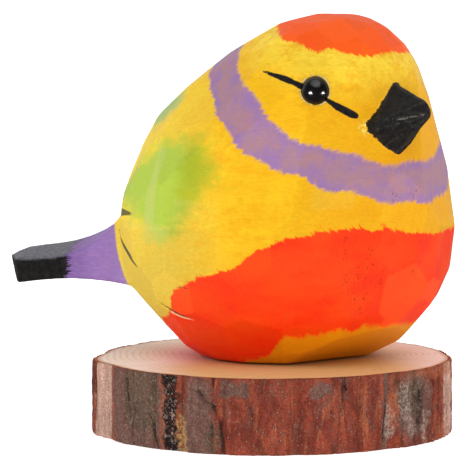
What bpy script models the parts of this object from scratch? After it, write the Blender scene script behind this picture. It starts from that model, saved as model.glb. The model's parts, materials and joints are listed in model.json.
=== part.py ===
"""A knife-carved wooden bird that stands on a bark-on slice of log.

The frame has its origin at the centre of the slice's underside. +X is the way the bird's body points,
+Z is up, and the bird's right side is -Y. The bird is one carved block: a block of wood is cut by flat
knife cuts that touch a rounded form, and the tail and the beak are joined on. The eyes are round beads
in drilled sockets.
"""

import math
import random

import bmesh
import bpy
from mathutils import Matrix, Vector
from mathutils.bvhtree import BVHTree

MM = 0.001

# Fits, and how close two corners must lie to become one
CLEARANCE = 0.3 * MM
SAME_CORNER = 0.05 * MM
SAME_PLANE = 0.01 * MM

# Log slice
SLICE_RADIUS = 33.4 * MM
SLICE_THICKNESS = 14.0 * MM
SLICE_TAPER = 0.8 * MM
SLICE_SIDES = 96
SLICE_RIM = 0.5 * MM
BARK_ROWS = 6
BARK_WAVE = 0.35 * MM
# Slow swells round the slice: how many, where they start, and their share of the wave
BARK_SWELLS = ((3, 0.4, 0.6), (5, 2.0, 0.4))
BARK_PLATE_HEIGHT = 0.4 * MM
BARK_PLATES = 11
BARK_PLATE_DRIFT = 0.5
BARK_PLATE_LEAN = 0.25
CREVICE_DEPTH = 1.0 * MM
CREVICE_SHARE = 0.22
# A loose flake of bark: where it is round the slice, how far round it runs, and how far it stands out
FLAKE_TURN = math.radians(-152.0)
FLAKE_SPREAD = math.radians(11.0)
FLAKE_HEIGHT = 1.0 * MM
FLAKE_POWER = 4

# Bird as a whole
BIRD_HEIGHT = 65.0 * MM
SEAT_CUT = 5.5 * MM
BIRD_ASIDE = 2.2 * MM
BIRD_FORWARD = 1.8 * MM

# Rounded form of the body
BODY_LENGTH = 64.3 * MM
BODY_WIDTH = 54.0 * MM
BODY_DEPTH = 61.2 * MM
BODY_PITCH = math.radians(5.6)

# Rounded form of the head
HEAD_LENGTH = 47.6 * MM
HEAD_WIDTH = 39.0 * MM
HEAD_DEPTH = 37.5 * MM
HEAD_PITCH = math.radians(30.4)
HEAD_TURN = math.radians(-23.0)
HEAD_FORWARD = 6.5 * MM
HEAD_ASIDE = -4.5 * MM

# Knife cuts: each ring is the tilt of its cuts above the level, and how many go round
CUT_RINGS = (
    (-72, 9), (-55, 14), (-39, 18), (-23, 20), (-8, 21), (7, 21), (21, 20), (35, 18), (49, 15), (62, 12),
    (75, 7), (87, 2),
)
CUT_TURN_JITTER = 0.22
CUT_TILT_JITTER = math.radians(3.0)
CUT_DEPTH = 0.4 * MM
CUT_DEPTH_JITTER = 0.25 * MM
CUT_SEED = 17

# Swells, and hollows where the amount is below nought: the turn and tilt that each faces, and its amount
SWELLS = (
    (-160.0, 62.0, -0.57 * MM),
    (-160.0, 49.0, 0.26 * MM),
    (-160.0, 21.0, -0.81 * MM),
    (-160.0, 7.0, -0.22 * MM),
    (-160.0, -8.0, 0.72 * MM),
    (-160.0, -23.0, 0.59 * MM),
    (-160.0, -39.0, -0.59 * MM),
    (-160.0, -55.0, -0.96 * MM),
    (20.0, 62.0, 0.2 * MM),
    (20.0, 35.0, -0.83 * MM),
    (20.0, 21.0, 0.89 * MM),
    (20.0, 7.0, -1.09 * MM),
    (20.0, -8.0, 0.28 * MM),
    (20.0, -23.0, 0.43 * MM),
    (20.0, -39.0, -0.79 * MM),
    (0.0, 88.0, -0.21 * MM),
)
SWELL_SPREAD = math.radians(15.0)

# Deep cuts under the chest: turn from straight ahead, tilt, and how far out they meet the flat underside
CHEST_CUTS = ((-29.0, -62.0, 11.5 * MM), (20.0, -62.0, 15.2 * MM))

# Tail: it runs back from the body, and its lower edge lies at a height above the seat
TAIL_LENGTH = 22.7 * MM
TAIL_THICKNESS = 4.8 * MM
TAIL_WIDTH = 15.6 * MM
TAIL_HEIGHT = 12.2 * MM
TAIL_ARCH = 1.3 * MM
TAIL_CROWN = 2.0 * MM
TAIL_TIP_CROWN = 0.5 * MM
TAIL_CROWN_EARLY = 0.6
TAIL_TIP_BOW = 2.7 * MM
TAIL_TIP_SLANT = 1.1 * MM
TAIL_BEVEL = 0.7 * MM
TAIL_ROOT_DEPTH = 8.0 * MM
TAIL_ROOT_SPREAD = 9.0 * MM
TAIL_ROOT_RISE = 17.0 * MM
TAIL_FLARE = 2.9
TAIL_STATIONS = 11
TAIL_BOW_POWER = 3
# Where the ridges of the tail's top lie, as shares of its half width
TAIL_RIDGES = (-1.0, -0.55, 0.0, 0.55, 1.0)

# Beak
BEAK_LENGTH = 7.5 * MM
BEAK_WIDTH = 13.8 * MM
BEAK_HEIGHT = 12.8 * MM
BEAK_BASE_TURN = math.radians(-4.0)
BEAK_BASE_TILT = math.radians(3.0)
BEAK_PITCH = math.radians(10.5)
BEAK_ROOT_DEPTH = 5.0 * MM
# How far the beak's lower edge leans to the bird's right, as a share of its half width
BEAK_LEAN = 0.2
# Half of the beak's outline from its top to its bottom, as shares of its length, half width and half height
BEAK_OUTLINE = (
    (0.0, 0.09, 1.0), (0.0, 0.98, -0.06), (-0.04, 0.90, -0.27), (-0.12, 0.45, -0.74), (-0.08, 0.05, -1.0),
)
# The blunt tip, as shares of the length, half width and half height
BEAK_TIP = ((0.90, 0.06, 0.32), (1.0, 0.05, 0.03), (0.98, 0.05, -0.11))

# Eyes
EYE_DIAMETER = 5.6 * MM
EYE_PROUD = 1.64 * MM
EYE_TURN = math.radians(-47.0)
EYE_TILT = math.radians(18.0)
FAR_EYE_TURN = math.radians(65.0)
EYE_FLAT_DEPTH = 0.6 * MM
EYE_SIDES = 24
EYE_ROWS = 16

# Places worked out from the sizes
SEAT_HEIGHT = SLICE_THICKNESS + CLEARANCE


def clear_scene():
    """Remove every object that the file holds."""
    for item in list(bpy.data.objects):
        bpy.data.objects.remove(item, do_unlink=True)


def material(name, colour, roughness):
    """A plain painted or natural surface."""
    surface = bpy.data.materials.new(name)
    surface.use_nodes = True
    shader = surface.node_tree.nodes["Principled BSDF"]
    shader.inputs["Base Color"].default_value = (*colour, 1.0)
    shader.inputs["Roughness"].default_value = roughness
    shader.inputs["Metallic"].default_value = 0.0
    return surface


def new_object(name, bm, collection, surface):
    """Turn a finished bmesh into an object in a collection."""
    mesh = bpy.data.meshes.new(name)
    bm.to_mesh(mesh)
    bm.free()
    item = bpy.data.objects.new(name, mesh)
    collection.objects.link(item)
    if surface:
        mesh.materials.append(surface)
    return item


def direction(turn, tilt):
    """The unit vector at a turn about the upright and a tilt above the level."""
    return Vector((math.cos(turn) * math.cos(tilt), math.sin(turn) * math.cos(tilt), math.sin(tilt)))


class Form:
    """A rounded form: an ellipsoid with a centre, three axes, a pitch and a turn."""

    def __init__(self, length, width, depth, pitch, turn=0.0):
        place = Matrix.Rotation(turn, 3, "Z") @ Matrix.Rotation(-pitch, 3, "Y")
        self.shape = place @ Matrix.Diagonal((length / 2, width / 2, depth / 2))
        self.centre = Vector((0.0, 0.0, 0.0))

    def reach(self, normal):
        """How far the form reaches along a direction from its own centre."""
        return (self.shape.transposed() @ normal).length

    def touch(self, normal):
        """How far along a direction the plane lies that just touches the form."""
        return self.centre.dot(normal) + self.reach(normal)

    def outward(self, way):
        """The surface's outward direction where a line from the centre meets it."""
        unit = self.shape.inverted()
        return (unit.transposed() @ (unit @ way)).normalized()


def rounded_forms():
    """The body and the head as rounded forms, standing at the seat height."""
    up = Vector((0.0, 0.0, 1.0))
    body = Form(BODY_LENGTH, BODY_WIDTH, BODY_DEPTH, BODY_PITCH)
    body.centre = Vector((BIRD_FORWARD, BIRD_ASIDE, SEAT_HEIGHT + body.reach(up) - SEAT_CUT))
    head = Form(HEAD_LENGTH, HEAD_WIDTH, HEAD_DEPTH, HEAD_PITCH, HEAD_TURN)
    head_height = SEAT_HEIGHT + BIRD_HEIGHT - head.reach(up)
    head.centre = Vector((BIRD_FORWARD + HEAD_FORWARD, BIRD_ASIDE + HEAD_ASIDE, head_height))
    return body, head


def swell(normal):
    """How far the swells and hollows move a cut that faces a direction."""
    amount = 0.0
    for turn, tilt, height in SWELLS:
        away = normal.angle(direction(math.radians(turn), math.radians(tilt))) / SWELL_SPREAD
        amount += height * math.exp(-(away ** 2))
    return amount


def knife_cuts(forms):
    """The flat cuts: rings of planes that touch the rounded forms, each a little off its place."""
    chance = random.Random(CUT_SEED)
    cuts = []
    for tilt, count in CUT_RINGS:
        start = chance.random()
        for number in range(count):
            turn = (number + start + chance.uniform(-CUT_TURN_JITTER, CUT_TURN_JITTER)) * math.tau / count
            tilted = math.radians(tilt) + chance.uniform(-CUT_TILT_JITTER, CUT_TILT_JITTER)
            normal = direction(turn, tilted)
            depth = CUT_DEPTH + chance.uniform(-CUT_DEPTH_JITTER, CUT_DEPTH_JITTER)
            cuts.append((normal, max(form.touch(normal) for form in forms) + swell(normal) - depth))
    return cuts


def eye_ways(head):
    """The way each eye looks: straight out of the head at its place."""
    places = (("right", EYE_TURN), ("left", FAR_EYE_TURN))
    return {side: head.outward(direction(HEAD_TURN + turn, EYE_TILT)) for side, turn in places}


def eye_cuts(forms, ways):
    """A small flat for each eye to sit on."""
    return [(way, max(form.touch(way) for form in forms) - EYE_FLAT_DEPTH) for way in ways]


def chest_cuts(body):
    """The deeper cuts that lift the chest off the slice."""
    seat = Vector((body.centre.x, body.centre.y, SEAT_HEIGHT))
    cuts = []
    for turn, tilt, run in CHEST_CUTS:
        normal = direction(math.radians(turn), math.radians(tilt))
        edge = seat + direction(math.radians(turn), 0.0) * run
        cuts.append((normal, normal.dot(edge)))
    return cuts


def carve(bm, cuts):
    """Cut a block by planes, and close it after each cut."""
    for normal, distance in cuts:
        parts = bm.verts[:] + bm.edges[:] + bm.faces[:]
        cut = bmesh.ops.bisect_plane(
            bm, geom=parts, plane_co=normal * distance, plane_no=normal, clear_outer=True, dist=SAME_PLANE
        )
        edges = [part for part in cut["geom_cut"] if isinstance(part, bmesh.types.BMEdge)]
        if edges:
            bmesh.ops.holes_fill(bm, edges=edges, sides=0)


def carved_block(body, head):
    """The block of wood, cut to the body and the head in one convex piece."""
    bm = bmesh.new()
    size = 2 * (BODY_LENGTH + HEAD_LENGTH)
    bmesh.ops.create_cube(bm, size=size, matrix=Matrix.Translation(body.centre))
    seat_cut = (Vector((0.0, 0.0, -1.0)), -SEAT_HEIGHT)
    forms = (body, head)
    carve(bm, [seat_cut] + chest_cuts(body) + eye_cuts(forms, eye_ways(head).values()) + knife_cuts(forms))
    bmesh.ops.remove_doubles(bm, verts=bm.verts, dist=SAME_CORNER)
    bmesh.ops.triangulate(bm, faces=bm.faces)
    bmesh.ops.recalc_face_normals(bm, faces=bm.faces)
    return bm


def surface_point(tree, centre, way):
    """Where a line from inside the block comes out of its surface."""
    point, _, _, _ = tree.ray_cast(centre, way)
    return point


def loft(sections):
    """A closed solid through rings of equal length, given end to end."""
    bm = bmesh.new()
    rings = [[bm.verts.new(point) for point in section] for section in sections]
    for first, second in zip(rings, rings[1:]):
        for index in range(len(first)):
            after = (index + 1) % len(first)
            bm.faces.new((first[index], first[after], second[after], second[index]))
    bm.faces.new(rings[0])
    bm.faces.new(rings[-1])
    bmesh.ops.triangulate(bm, faces=bm.faces)
    bmesh.ops.recalc_face_normals(bm, faces=bm.faces)
    return bm


def tail_section(run, middle, low, high, width, crown, bow, slant):
    """One ring of the tail: flat sides, a crowned top and bevelled lower edges, bowed back at the tip."""
    half = width / 2
    outline = [(-half, low + TAIL_BEVEL)]
    outline += [(half * way, high + crown * (1 - abs(way))) for way in TAIL_RIDGES]
    outline += [(half, low + TAIL_BEVEL), (half - TAIL_BEVEL, low)]
    outline += [(half * way, low) for way in reversed(TAIL_RIDGES[1:-1])]
    outline += [(TAIL_BEVEL - half, low)]
    ring = []
    for across, height in outline:
        lean = slant * (high - height) / (high - low)
        back = run + bow * abs(across / half) ** TAIL_BOW_POWER + lean
        ring.append(Vector((back, middle + across, height)))
    return ring


def tail_solid(body):
    """The flat tail, which widens and rises into the body in a hollow curve."""
    back = body.centre.x - body.reach(Vector((1.0, 0.0, 0.0)))
    tip = back - TAIL_LENGTH
    root = back + TAIL_ROOT_DEPTH
    low = SEAT_HEIGHT + TAIL_HEIGHT
    sections = []
    for station in range(TAIL_STATIONS):
        share = station / (TAIL_STATIONS - 1)
        sweep = share ** TAIL_FLARE
        under = low + 4 * TAIL_ARCH * share * (1 - share)
        high = low + TAIL_THICKNESS + TAIL_ROOT_RISE * sweep
        width = TAIL_WIDTH + TAIL_ROOT_SPREAD * sweep
        swell_up = math.sin(math.pi * share ** TAIL_CROWN_EARLY)
        crown = TAIL_TIP_CROWN + (TAIL_CROWN - TAIL_TIP_CROWN) * swell_up
        run = tip + (root - tip) * share
        blunt = 1 - share
        sections.append(
            tail_section(
                run, body.centre.y, under, high, width, crown, TAIL_TIP_BOW * blunt, TAIL_TIP_SLANT * blunt
            )
        )
    return loft(sections)


def beak_solid(base, way):
    """The stout beak: a wedge with a ridge down each side and a blunt tip, grown out of the face."""
    aside = Vector((-way.y, way.x, 0.0)).normalized()
    up = way.cross(aside).normalized()
    half_width = BEAK_WIDTH / 2
    half_height = BEAK_HEIGHT / 2
    points = [(-BEAK_ROOT_DEPTH, across, rise) for _, across, rise in BEAK_OUTLINE]
    points += [(run * BEAK_LENGTH, across, rise) for run, across, rise in BEAK_OUTLINE + BEAK_TIP]
    bm = bmesh.new()
    for run, across, rise in points:
        for side in (1, -1):
            lean = BEAK_LEAN * min(rise, 0.0)
            spread = aside * ((side * across + lean) * half_width) + up * (rise * half_height)
            bm.verts.new(base + way * run + spread)
    hull = bmesh.ops.convex_hull(bm, input=bm.verts)
    inside = [part for part in hull["geom_interior"] if isinstance(part, bmesh.types.BMVert)]
    bmesh.ops.delete(bm, geom=inside, context="VERTS")
    bmesh.ops.recalc_face_normals(bm, faces=bm.faces)
    return bm


def socket_solid(centre, way):
    """The drill that cuts a blind hole for a bead, with clearance round it and under it."""
    radius = EYE_DIAMETER / 2 + CLEARANCE
    depth = 2 * EYE_DIAMETER
    middle = centre + way * (depth / 2 - radius)
    bm = bmesh.new()
    placed = Matrix.Translation(middle) @ way.to_track_quat("Z", "X").to_matrix().to_4x4()
    bmesh.ops.create_cone(
        bm, cap_ends=True, segments=EYE_SIDES, radius1=radius, radius2=radius, depth=depth, matrix=placed
    )
    return bm


def eye_bead(centre, way):
    """A round bead, its pole along the way that it looks."""
    bm = bmesh.new()
    placed = Matrix.Translation(centre) @ way.to_track_quat("Z", "X").to_matrix().to_4x4()
    bmesh.ops.create_uvsphere(
        bm, u_segments=EYE_SIDES, v_segments=EYE_ROWS, radius=EYE_DIAMETER / 2, matrix=placed
    )
    return bm


def eye_centre(tree, head, way):
    """The centre of a bead, sunk so that it stands a little proud of its flat."""
    touching = head.centre + head.shape @ (head.shape.transposed() @ way) / head.reach(way)
    surface = surface_point(tree, touching - way * HEAD_WIDTH / 2, way)
    return surface - way * (EYE_DIAMETER / 2 - EYE_PROUD)


def boolean(item, tool, operation):
    """Join a tool to an object, or cut it away."""
    step = item.modifiers.new(f"{operation.lower()} {tool.name}", "BOOLEAN")
    step.operation = operation
    step.object = tool
    step.solver = "EXACT"


def bark_relief(turn, share):
    """How far the bark stands out at a turn about the slice and a share of its thickness."""
    wave = sum(part * math.sin(count * turn + start) for count, start, part in BARK_SWELLS)
    drift = BARK_PLATE_DRIFT * math.sin(2 * turn) + BARK_PLATE_LEAN * share
    plate = abs(math.sin(BARK_PLATES * turn / 2 + drift))
    crevice = max(0.0, 1.0 - plate / CREVICE_SHARE)
    away = abs(math.remainder(turn - FLAKE_TURN, math.tau)) / FLAKE_SPREAD
    flake = max(0.0, 1.0 - away ** FLAKE_POWER)
    return (
        BARK_WAVE * wave
        + BARK_PLATE_HEIGHT * math.sqrt(plate)
        - CREVICE_DEPTH * crevice * (1.0 - flake)
        + FLAKE_HEIGHT * flake
    )


def slice_solid():
    """The slice of log: a flat disc with an uneven bark edge and slightly rounded rims."""
    bm = bmesh.new()
    lift = Matrix.Translation((0.0, 0.0, SLICE_THICKNESS / 2))
    bmesh.ops.create_cone(
        bm, cap_ends=True, segments=SLICE_SIDES, radius1=SLICE_RADIUS, radius2=SLICE_RADIUS,
        depth=SLICE_THICKNESS, matrix=lift,
    )
    half = SLICE_THICKNESS / 2
    upright = [edge for edge in bm.edges if abs(edge.verts[0].co.z - edge.verts[1].co.z) > half]
    bmesh.ops.subdivide_edges(bm, edges=upright, cuts=BARK_ROWS - 1)
    heights = [row * SLICE_THICKNESS / BARK_ROWS for row in range(BARK_ROWS + 1)]
    heights[1] = SLICE_RIM
    heights[-2] = SLICE_THICKNESS - SLICE_RIM
    for vert in bm.verts:
        row = round(vert.co.z / SLICE_THICKNESS * BARK_ROWS)
        turn = math.atan2(vert.co.y, vert.co.x)
        share = row / BARK_ROWS
        radius = SLICE_RADIUS + bark_relief(turn, share) - SLICE_TAPER * (1.0 - share)
        if row in (0, BARK_ROWS):
            radius -= SLICE_RIM
        vert.co = (radius * math.cos(turn), radius * math.sin(turn), heights[row])
    bmesh.ops.triangulate(bm, faces=bm.faces)
    bmesh.ops.recalc_face_normals(bm, faces=bm.faces)
    return bm


def shade_round(item):
    """Shade a round piece smooth."""
    item.data.shade_smooth()


def main():
    """Build the bird, its eyes and its stand."""
    clear_scene()
    parts = bpy.data.collections.new("carved_bird")
    tools = bpy.data.collections.new("cutters")
    for collection in (parts, tools):
        bpy.context.scene.collection.children.link(collection)

    paint = material("painted_wood", (0.93, 0.50, 0.03), 0.45)
    gloss = material("eye_gloss", (0.006, 0.005, 0.005), 0.08)
    bark = material("log_bark", (0.27, 0.09, 0.05), 0.85)

    body, head = rounded_forms()
    block = carved_block(body, head)
    tree = BVHTree.FromBMesh(block)
    bird = new_object("bird", block, parts, paint)

    beak_base = surface_point(tree, head.centre, direction(HEAD_TURN + BEAK_BASE_TURN, BEAK_BASE_TILT))
    shapes = {
        "tail_stock": ("UNION", tail_solid(body)),
        "beak_stock": ("UNION", beak_solid(beak_base, direction(HEAD_TURN, BEAK_PITCH))),
    }
    for side, way in eye_ways(head).items():
        centre = eye_centre(tree, head, way)
        shapes[f"drill_{side}"] = ("DIFFERENCE", socket_solid(centre, way))
        shade_round(new_object(f"eye_{side}", eye_bead(centre, way), parts, gloss))
    for name, (operation, bm) in shapes.items():
        tool = new_object(name, bm, tools, None)
        tool.hide_render = True
        tool.display_type = "WIRE"
        boolean(bird, tool, operation)

    new_object("log_slice", slice_solid(), parts, bark)


main()
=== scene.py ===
"""The looks of a painted wooden bird that stands on a slice of log.

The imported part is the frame. The bird's block becomes an even, softened surface that carries its painted
areas as distances, the slice becomes sawn end grain inside a ring of rough bark, and the eyes become glossy
beads. All lengths in the tables are in millimetres, in the part's own frame: +X is the way the bird's body
points, +Z is up, and the bird's right side is -Y.
"""

import json
import math

import bmesh
import bpy
import numpy as np
from bpy.props import FloatProperty, FloatVectorProperty, IntProperty, PointerProperty
from mathutils import Matrix, Vector, noise
from mathutils.bvhtree import BVHTree
from mathutils.kdtree import KDTree

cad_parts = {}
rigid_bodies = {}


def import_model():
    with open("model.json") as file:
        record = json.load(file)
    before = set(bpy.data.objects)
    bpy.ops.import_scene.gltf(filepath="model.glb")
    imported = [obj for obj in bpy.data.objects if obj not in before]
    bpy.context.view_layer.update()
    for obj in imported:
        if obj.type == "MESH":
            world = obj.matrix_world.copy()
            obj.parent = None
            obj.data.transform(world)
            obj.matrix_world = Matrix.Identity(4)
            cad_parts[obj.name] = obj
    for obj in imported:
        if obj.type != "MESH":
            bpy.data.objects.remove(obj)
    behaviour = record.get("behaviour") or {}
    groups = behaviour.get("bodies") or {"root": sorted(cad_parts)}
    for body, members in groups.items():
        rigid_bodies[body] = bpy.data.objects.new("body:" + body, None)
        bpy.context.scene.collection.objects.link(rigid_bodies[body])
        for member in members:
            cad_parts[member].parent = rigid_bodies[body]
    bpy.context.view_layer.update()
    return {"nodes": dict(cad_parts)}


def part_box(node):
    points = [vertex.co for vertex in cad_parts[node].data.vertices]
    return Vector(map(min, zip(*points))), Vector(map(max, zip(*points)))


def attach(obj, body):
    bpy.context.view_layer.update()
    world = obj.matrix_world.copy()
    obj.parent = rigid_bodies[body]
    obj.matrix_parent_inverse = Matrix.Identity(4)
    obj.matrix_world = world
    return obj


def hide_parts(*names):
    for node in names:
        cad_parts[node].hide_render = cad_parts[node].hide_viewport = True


bl_info = {
    "name": "Painted Wooden Bird",
    "version": (1, 0, 0),
    "blender": (4, 5, 0),
    "location": "View3D > Sidebar > Bird",
    "description": "Dresses the packed wooden bird in paint, bark and beads, and sets the stage",
    "category": "Object",
}

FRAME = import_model()

MM = 0.001

# The body as a rounded form: its centre, half axes and pitch
BODY_CENTRE = (1.8, 2.2, 39.42)
BODY_HALF = (32.15, 27.0, 30.6)
BODY_PITCH = math.radians(5.6)

# Lengths that stand for one radian of turn round the body, the collar and the crown
BODY_REACH = 27.0
COLLAR_REACH = 21.0
CROWN_REACH = 14.0

# The head: its centre, the turn of the face, and how far past it the far eye's marks are turned
HEAD_CENTRE = (8.3, -2.3, 59.14)
HEAD_TURN = math.radians(-23.0)
FAR_EYE_EXTRA = math.radians(18.0)

# Edges of the belly patch: turn from straight ahead on either side, and height
BELLY_TOP = (
    (0, 39.0), (14, 38.6), (25, 39.3), (35, 40.1), (45, 40.4), (56, 40.3), (67, 38.9), (75, 37.9), (83, 36.5),
    (88, 34.5), (94, 32.6), (103, 31.5), (109, 30.8), (114, 29.9), (119, 28.6), (124, 27.8), (127, 26.8),
    (129, 24.4),
    (132, 23.4), (136, 22.7), (145, 21.5), (160, 20.0), (180, 19.0),
)
BELLY_LOW = (
    (0, 21.4), (11, 21.4), (23, 21.3), (36, 21.2), (50, 21.0), (59, 20.1), (67, 19.7), (73, 19.2), (78, 17.7),
    (82, 16.0), (87, 15.4), (110, 13.5), (180, 12.0),
)

# Edges of the collar and the crown: turn about an axis of the head from its top, and angle away from the axis
COLLAR_TILT = math.radians(55.0)
COLLAR_FACE_SIDE = (
    (0, 71.0), (34, 71.1), (51, 70.9), (61, 73.7), (80, 73.1), (92, 73.8), (103, 75.6), (113, 77.6),
    (122, 77.4),
    (131, 76.1), (140, 74.1), (149, 72.1), (159, 72.6), (166, 72.7), (174, 71.0), (180, 70.4),
)
COLLAR_BODY_SIDE = (
    (0, 91.5), (43, 91.9), (62, 92.5), (79, 93.3), (87, 94.7), (95, 95.2), (104, 95.6), (114, 94.8),
    (123, 93.1),
    (130, 90.7), (142, 91.0), (149, 88.6), (156, 86.5), (167, 86.4), (175, 85.7), (180, 84.9),
)
CROWN_TILT = math.radians(65.0)
CROWN_EDGE = (
    (0, 36.5), (44, 37.7), (77, 39.8), (92, 36.7), (113, 37.5), (121, 33.7), (136, 34.8), (155, 33.4),
    (170, 31.6),
    (180, 30.8),
)

# The green patch on each wing: turn from straight ahead on either side, and height
WING_PATCH = (
    (175, 45.0), (164, 47.3), (156, 51.0), (145, 53.3), (135, 56.0), (122, 56.3), (109, 56.9), (104, 55.4),
    (102, 53.0), (100, 50.8), (96, 48.6), (101, 47.6), (105, 46.4), (107, 43.6), (112, 41.0), (119, 38.6),
    (127, 36.6), (134, 37.6), (141, 39.6), (150, 41.8), (166, 42.0),
)
# Cuts on each side painted paler; those from about 105 degrees round are a painted sheen where the cuts turn
# away from the front: how pale, then turn and height
PALE_SHEEN_CUTS = (
    (0.30, ((104.5, 20.0), (105.5, 45.0), (121.0, 45.0), (120.0, 20.0))),
    (0.60, ((120.5, 20.0), (121.5, 40.0), (168.0, 40.0), (168.0, 20.0))),
    (0.90, ((130.5, 36.0), (131.5, 53.5), (136.5, 54.5), (136.5, 36.0))),
    (0.25, ((47.0, 44.0), (46.0, 54.0), (61.0, 52.0), (62.0, 44.0))),
)
SHOULDER_PATCH = ((180, 57.5), (158, 58.3), (150, 60.0), (143, 62.6), (150, 64.0), (180, 65.5))

# Strokes of black: points and half widths along each, on the bird's right side
EYE_STRIPES = (
    ((4.6, -19.0, 68.75, 0.18), (6.2, -19.6, 68.35, 0.34), (9.3, -20.4, 67.5, 0.58),
     (12.6, -21.0, 66.3, 0.6)),
    ((17.0, -20.8, 64.1, 0.34), (19.2, -20.2, 62.7, 0.64), (21.6, -19.2, 61.3, 0.7),
     (22.3, -18.9, 61.0, 0.56)),
)
WING_MARKS = (
    ((-29.8, -4.0, 41.0, 0.5), (-28.2, -7.8, 41.2, 0.85), (-26.6, -10.5, 41.3, 0.72),
     (-21.9, -15.9, 41.45, 0.04)),
    ((-28.0, -7.9, 37.8, 0.12), (-26.2, -10.9, 35.1, 0.5), (-23.4, -13.9, 33.1, 0.52),
     (-21.6, -15.1, 31.5, 0.16)),
)
# The slips of the knife: a dark line painted along each as the shade in the cut, and a pale line below the
# long one
KNIFE_SLIP = (
    (-17.2, -16.2, 25.6, 0.06), (-14.4, -17.1, 24.1, 0.2), (-11.8, -17.8, 23.1, 0.2),
    (-9.2, -18.2, 22.5, 0.04),
)
SHORT_SLIP = ((-12.0, -20.2, 28.6, 0.02), (-10.7, -21.0, 28.8, 0.16), (-8.8, -21.4, 28.5, 0.02))
# Rows of dark specks on the belly: turn, then the lowest and the highest place
SPECK_ROWS = (
    (-48.0, 25.5, 38.8), (-44.0, 27.0, 33.0), (-39.2, 25.0, 37.6), (-34.0, 27.0, 36.0), (-20.0, 26.0, 37.0),
    (-32.5, 45.8, 46.7), (-25.0, 46.4, 47.5),
)

# Beak: the middle of its base, its way, and half of its outline as shares of its half width and half height
BEAK_BASE = (28.60, -12.64, 60.33)
BEAK_PITCH = math.radians(10.5)
BEAK_HALF_WIDTH = 6.9
BEAK_HALF_HEIGHT = 6.4
BEAK_LEAN = 0.2
BEAK_OUTLINE = ((0.09, 1.0), (0.98, -0.06), (0.90, -0.27), (0.45, -0.74), (0.05, -1.0))

# The pale line of the gape, and the middle of the chips under the beak's near corner
GAPE_LINE = ((34.6, -16.1, 61.4, 0.1), (32.2, -17.0, 60.9, 0.12), (29.0, -17.4, 60.2, 0.1))
BEAK_CHIPS = (24.0, -18.1, 58.8)

# Tail: where the black tip starts, and how far from the body's form the purple starts
TAIL_BLACK_START = -39.4
TAIL_OFF_BODY = 0.8

EYE_RADIUS = 2.8
SOCKET_RADIUS = 3.1
BEAD_ROWS = 48
BEAD_AROUND = 72
BEAD_FRONT_ANGLE = 0.02
BEAD_HOLE = 0.45

# Where two faces meet at more than this angle, a knife cut ends
CUT_EDGE_ANGLE = math.radians(3.0)
CUT_EDGE_STEP = 0.25
SAME_PLACE = 0.002

# Log slice
PITH = (15.3, 9.8)
# The point under the belly, and the reach round it of the orange bounce light painted on the wood
BELLY_FOOT = (10.0, -18.0)
BELLY_BOUNCE_REACH = (14.0, 32.0)
DISC_RINGS = 34
DISC_LEAST_SHARE = 0.012
DISC_SKIP = 3
BARK_THICKNESS = 1.1
BARK_LEAST = 0.12
BARK_ROUND = 900
BARK_ROWS = 46
BARK_BOX_MARGIN = 0.02
# Near black, painted into the bark's sunk cracks as their shade
CRACK_SHADE = (0.02, 0.012, 0.01, 1.0)

# Zones of the bark by kind: turn, height, half spread of the turn in degrees, half spread of the height
BARK_ZONES = {
    "grey": (
        (-121.0, 7.0, 13.2, 20.0), (-95.2, 5.0, 5.4, 8.5), (-82.8, 12.2, 4.4, 1.5), (-55.5, 11.8, 3.6, 1.2),
        (-31.6, 7.0, 1.7, 20.0), (-19.0, 7.5, 8.5, 6.4), (33.0, 7.0, 9.0, 7.0), (88.0, 6.0, 8.0, 8.0),
        (137.0, 9.0, 9.0, 6.0),
    ),
    "olive": (
        (-118.0, 8.5, 8.5, 5.5), (-89.5, 2.5, 2.8, 2.8), (-21.0, 9.5, 5.6, 2.6), (60.0, 8.0, 7.0, 4.0),
        (176.0, 7.0, 6.0, 4.0),
    ),
    "pale": ((-142.0, 7.0, 5.0, 20.0), (7.0, 8.0, 6.0, 9.0), (118.0, 8.0, 2.4, 16.0)),
    "orange": (
        (-134.4, 7.0, 0.6, 20.0), (-108.0, 7.0, 0.5, 20.0), (-40.5, 8.0, 1.0, 5.0), (-28.0, 9.0, 1.8, 5.0),
        (-2.0, 13.3, 22.0, 1.1), (0.0, 1.5, 5.0, 1.4),
    ),
    "tan": ((-101.0, 2.8, 2.4, 4.8), (-102.6, 1.4, 3.0, 2.4), (102.0, 3.0, 3.0, 3.5)),
    "lichen": (
        (-30.0, 4.6, 2.0, 3.5), (-20.0, 3.8, 2.6, 2.2), (-13.0, 3.4, 1.8, 3.4), (-23.5, 9.0, 2.6, 3.6),
        (141.0, 4.0, 3.0, 3.0),
    ),
    "flake": ((-160.0, 8.5, 9.0, 5.5),),
    "dark": (
        (-105.3, 7.0, 2.3, 20.0), (-47.6, 12.6, 0.7, 0.8), (47.0, 6.0, 1.8, 20.0), (161.0, 7.0, 1.7, 20.0),
    ),
}
# How much of each kind's colour shows, and the kinds that are rough to the touch
ZONE_STRENGTHS = {
    "grey": 0.85, "olive": 0.65, "pale": 0.92, "orange": 0.5, "tan": 0.85, "lichen": 0.7, "flake": 0.9,
    "dark": 0.98,
}
ROUGH_KINDS = ("dark", "lichen", "olive", "grey")

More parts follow.
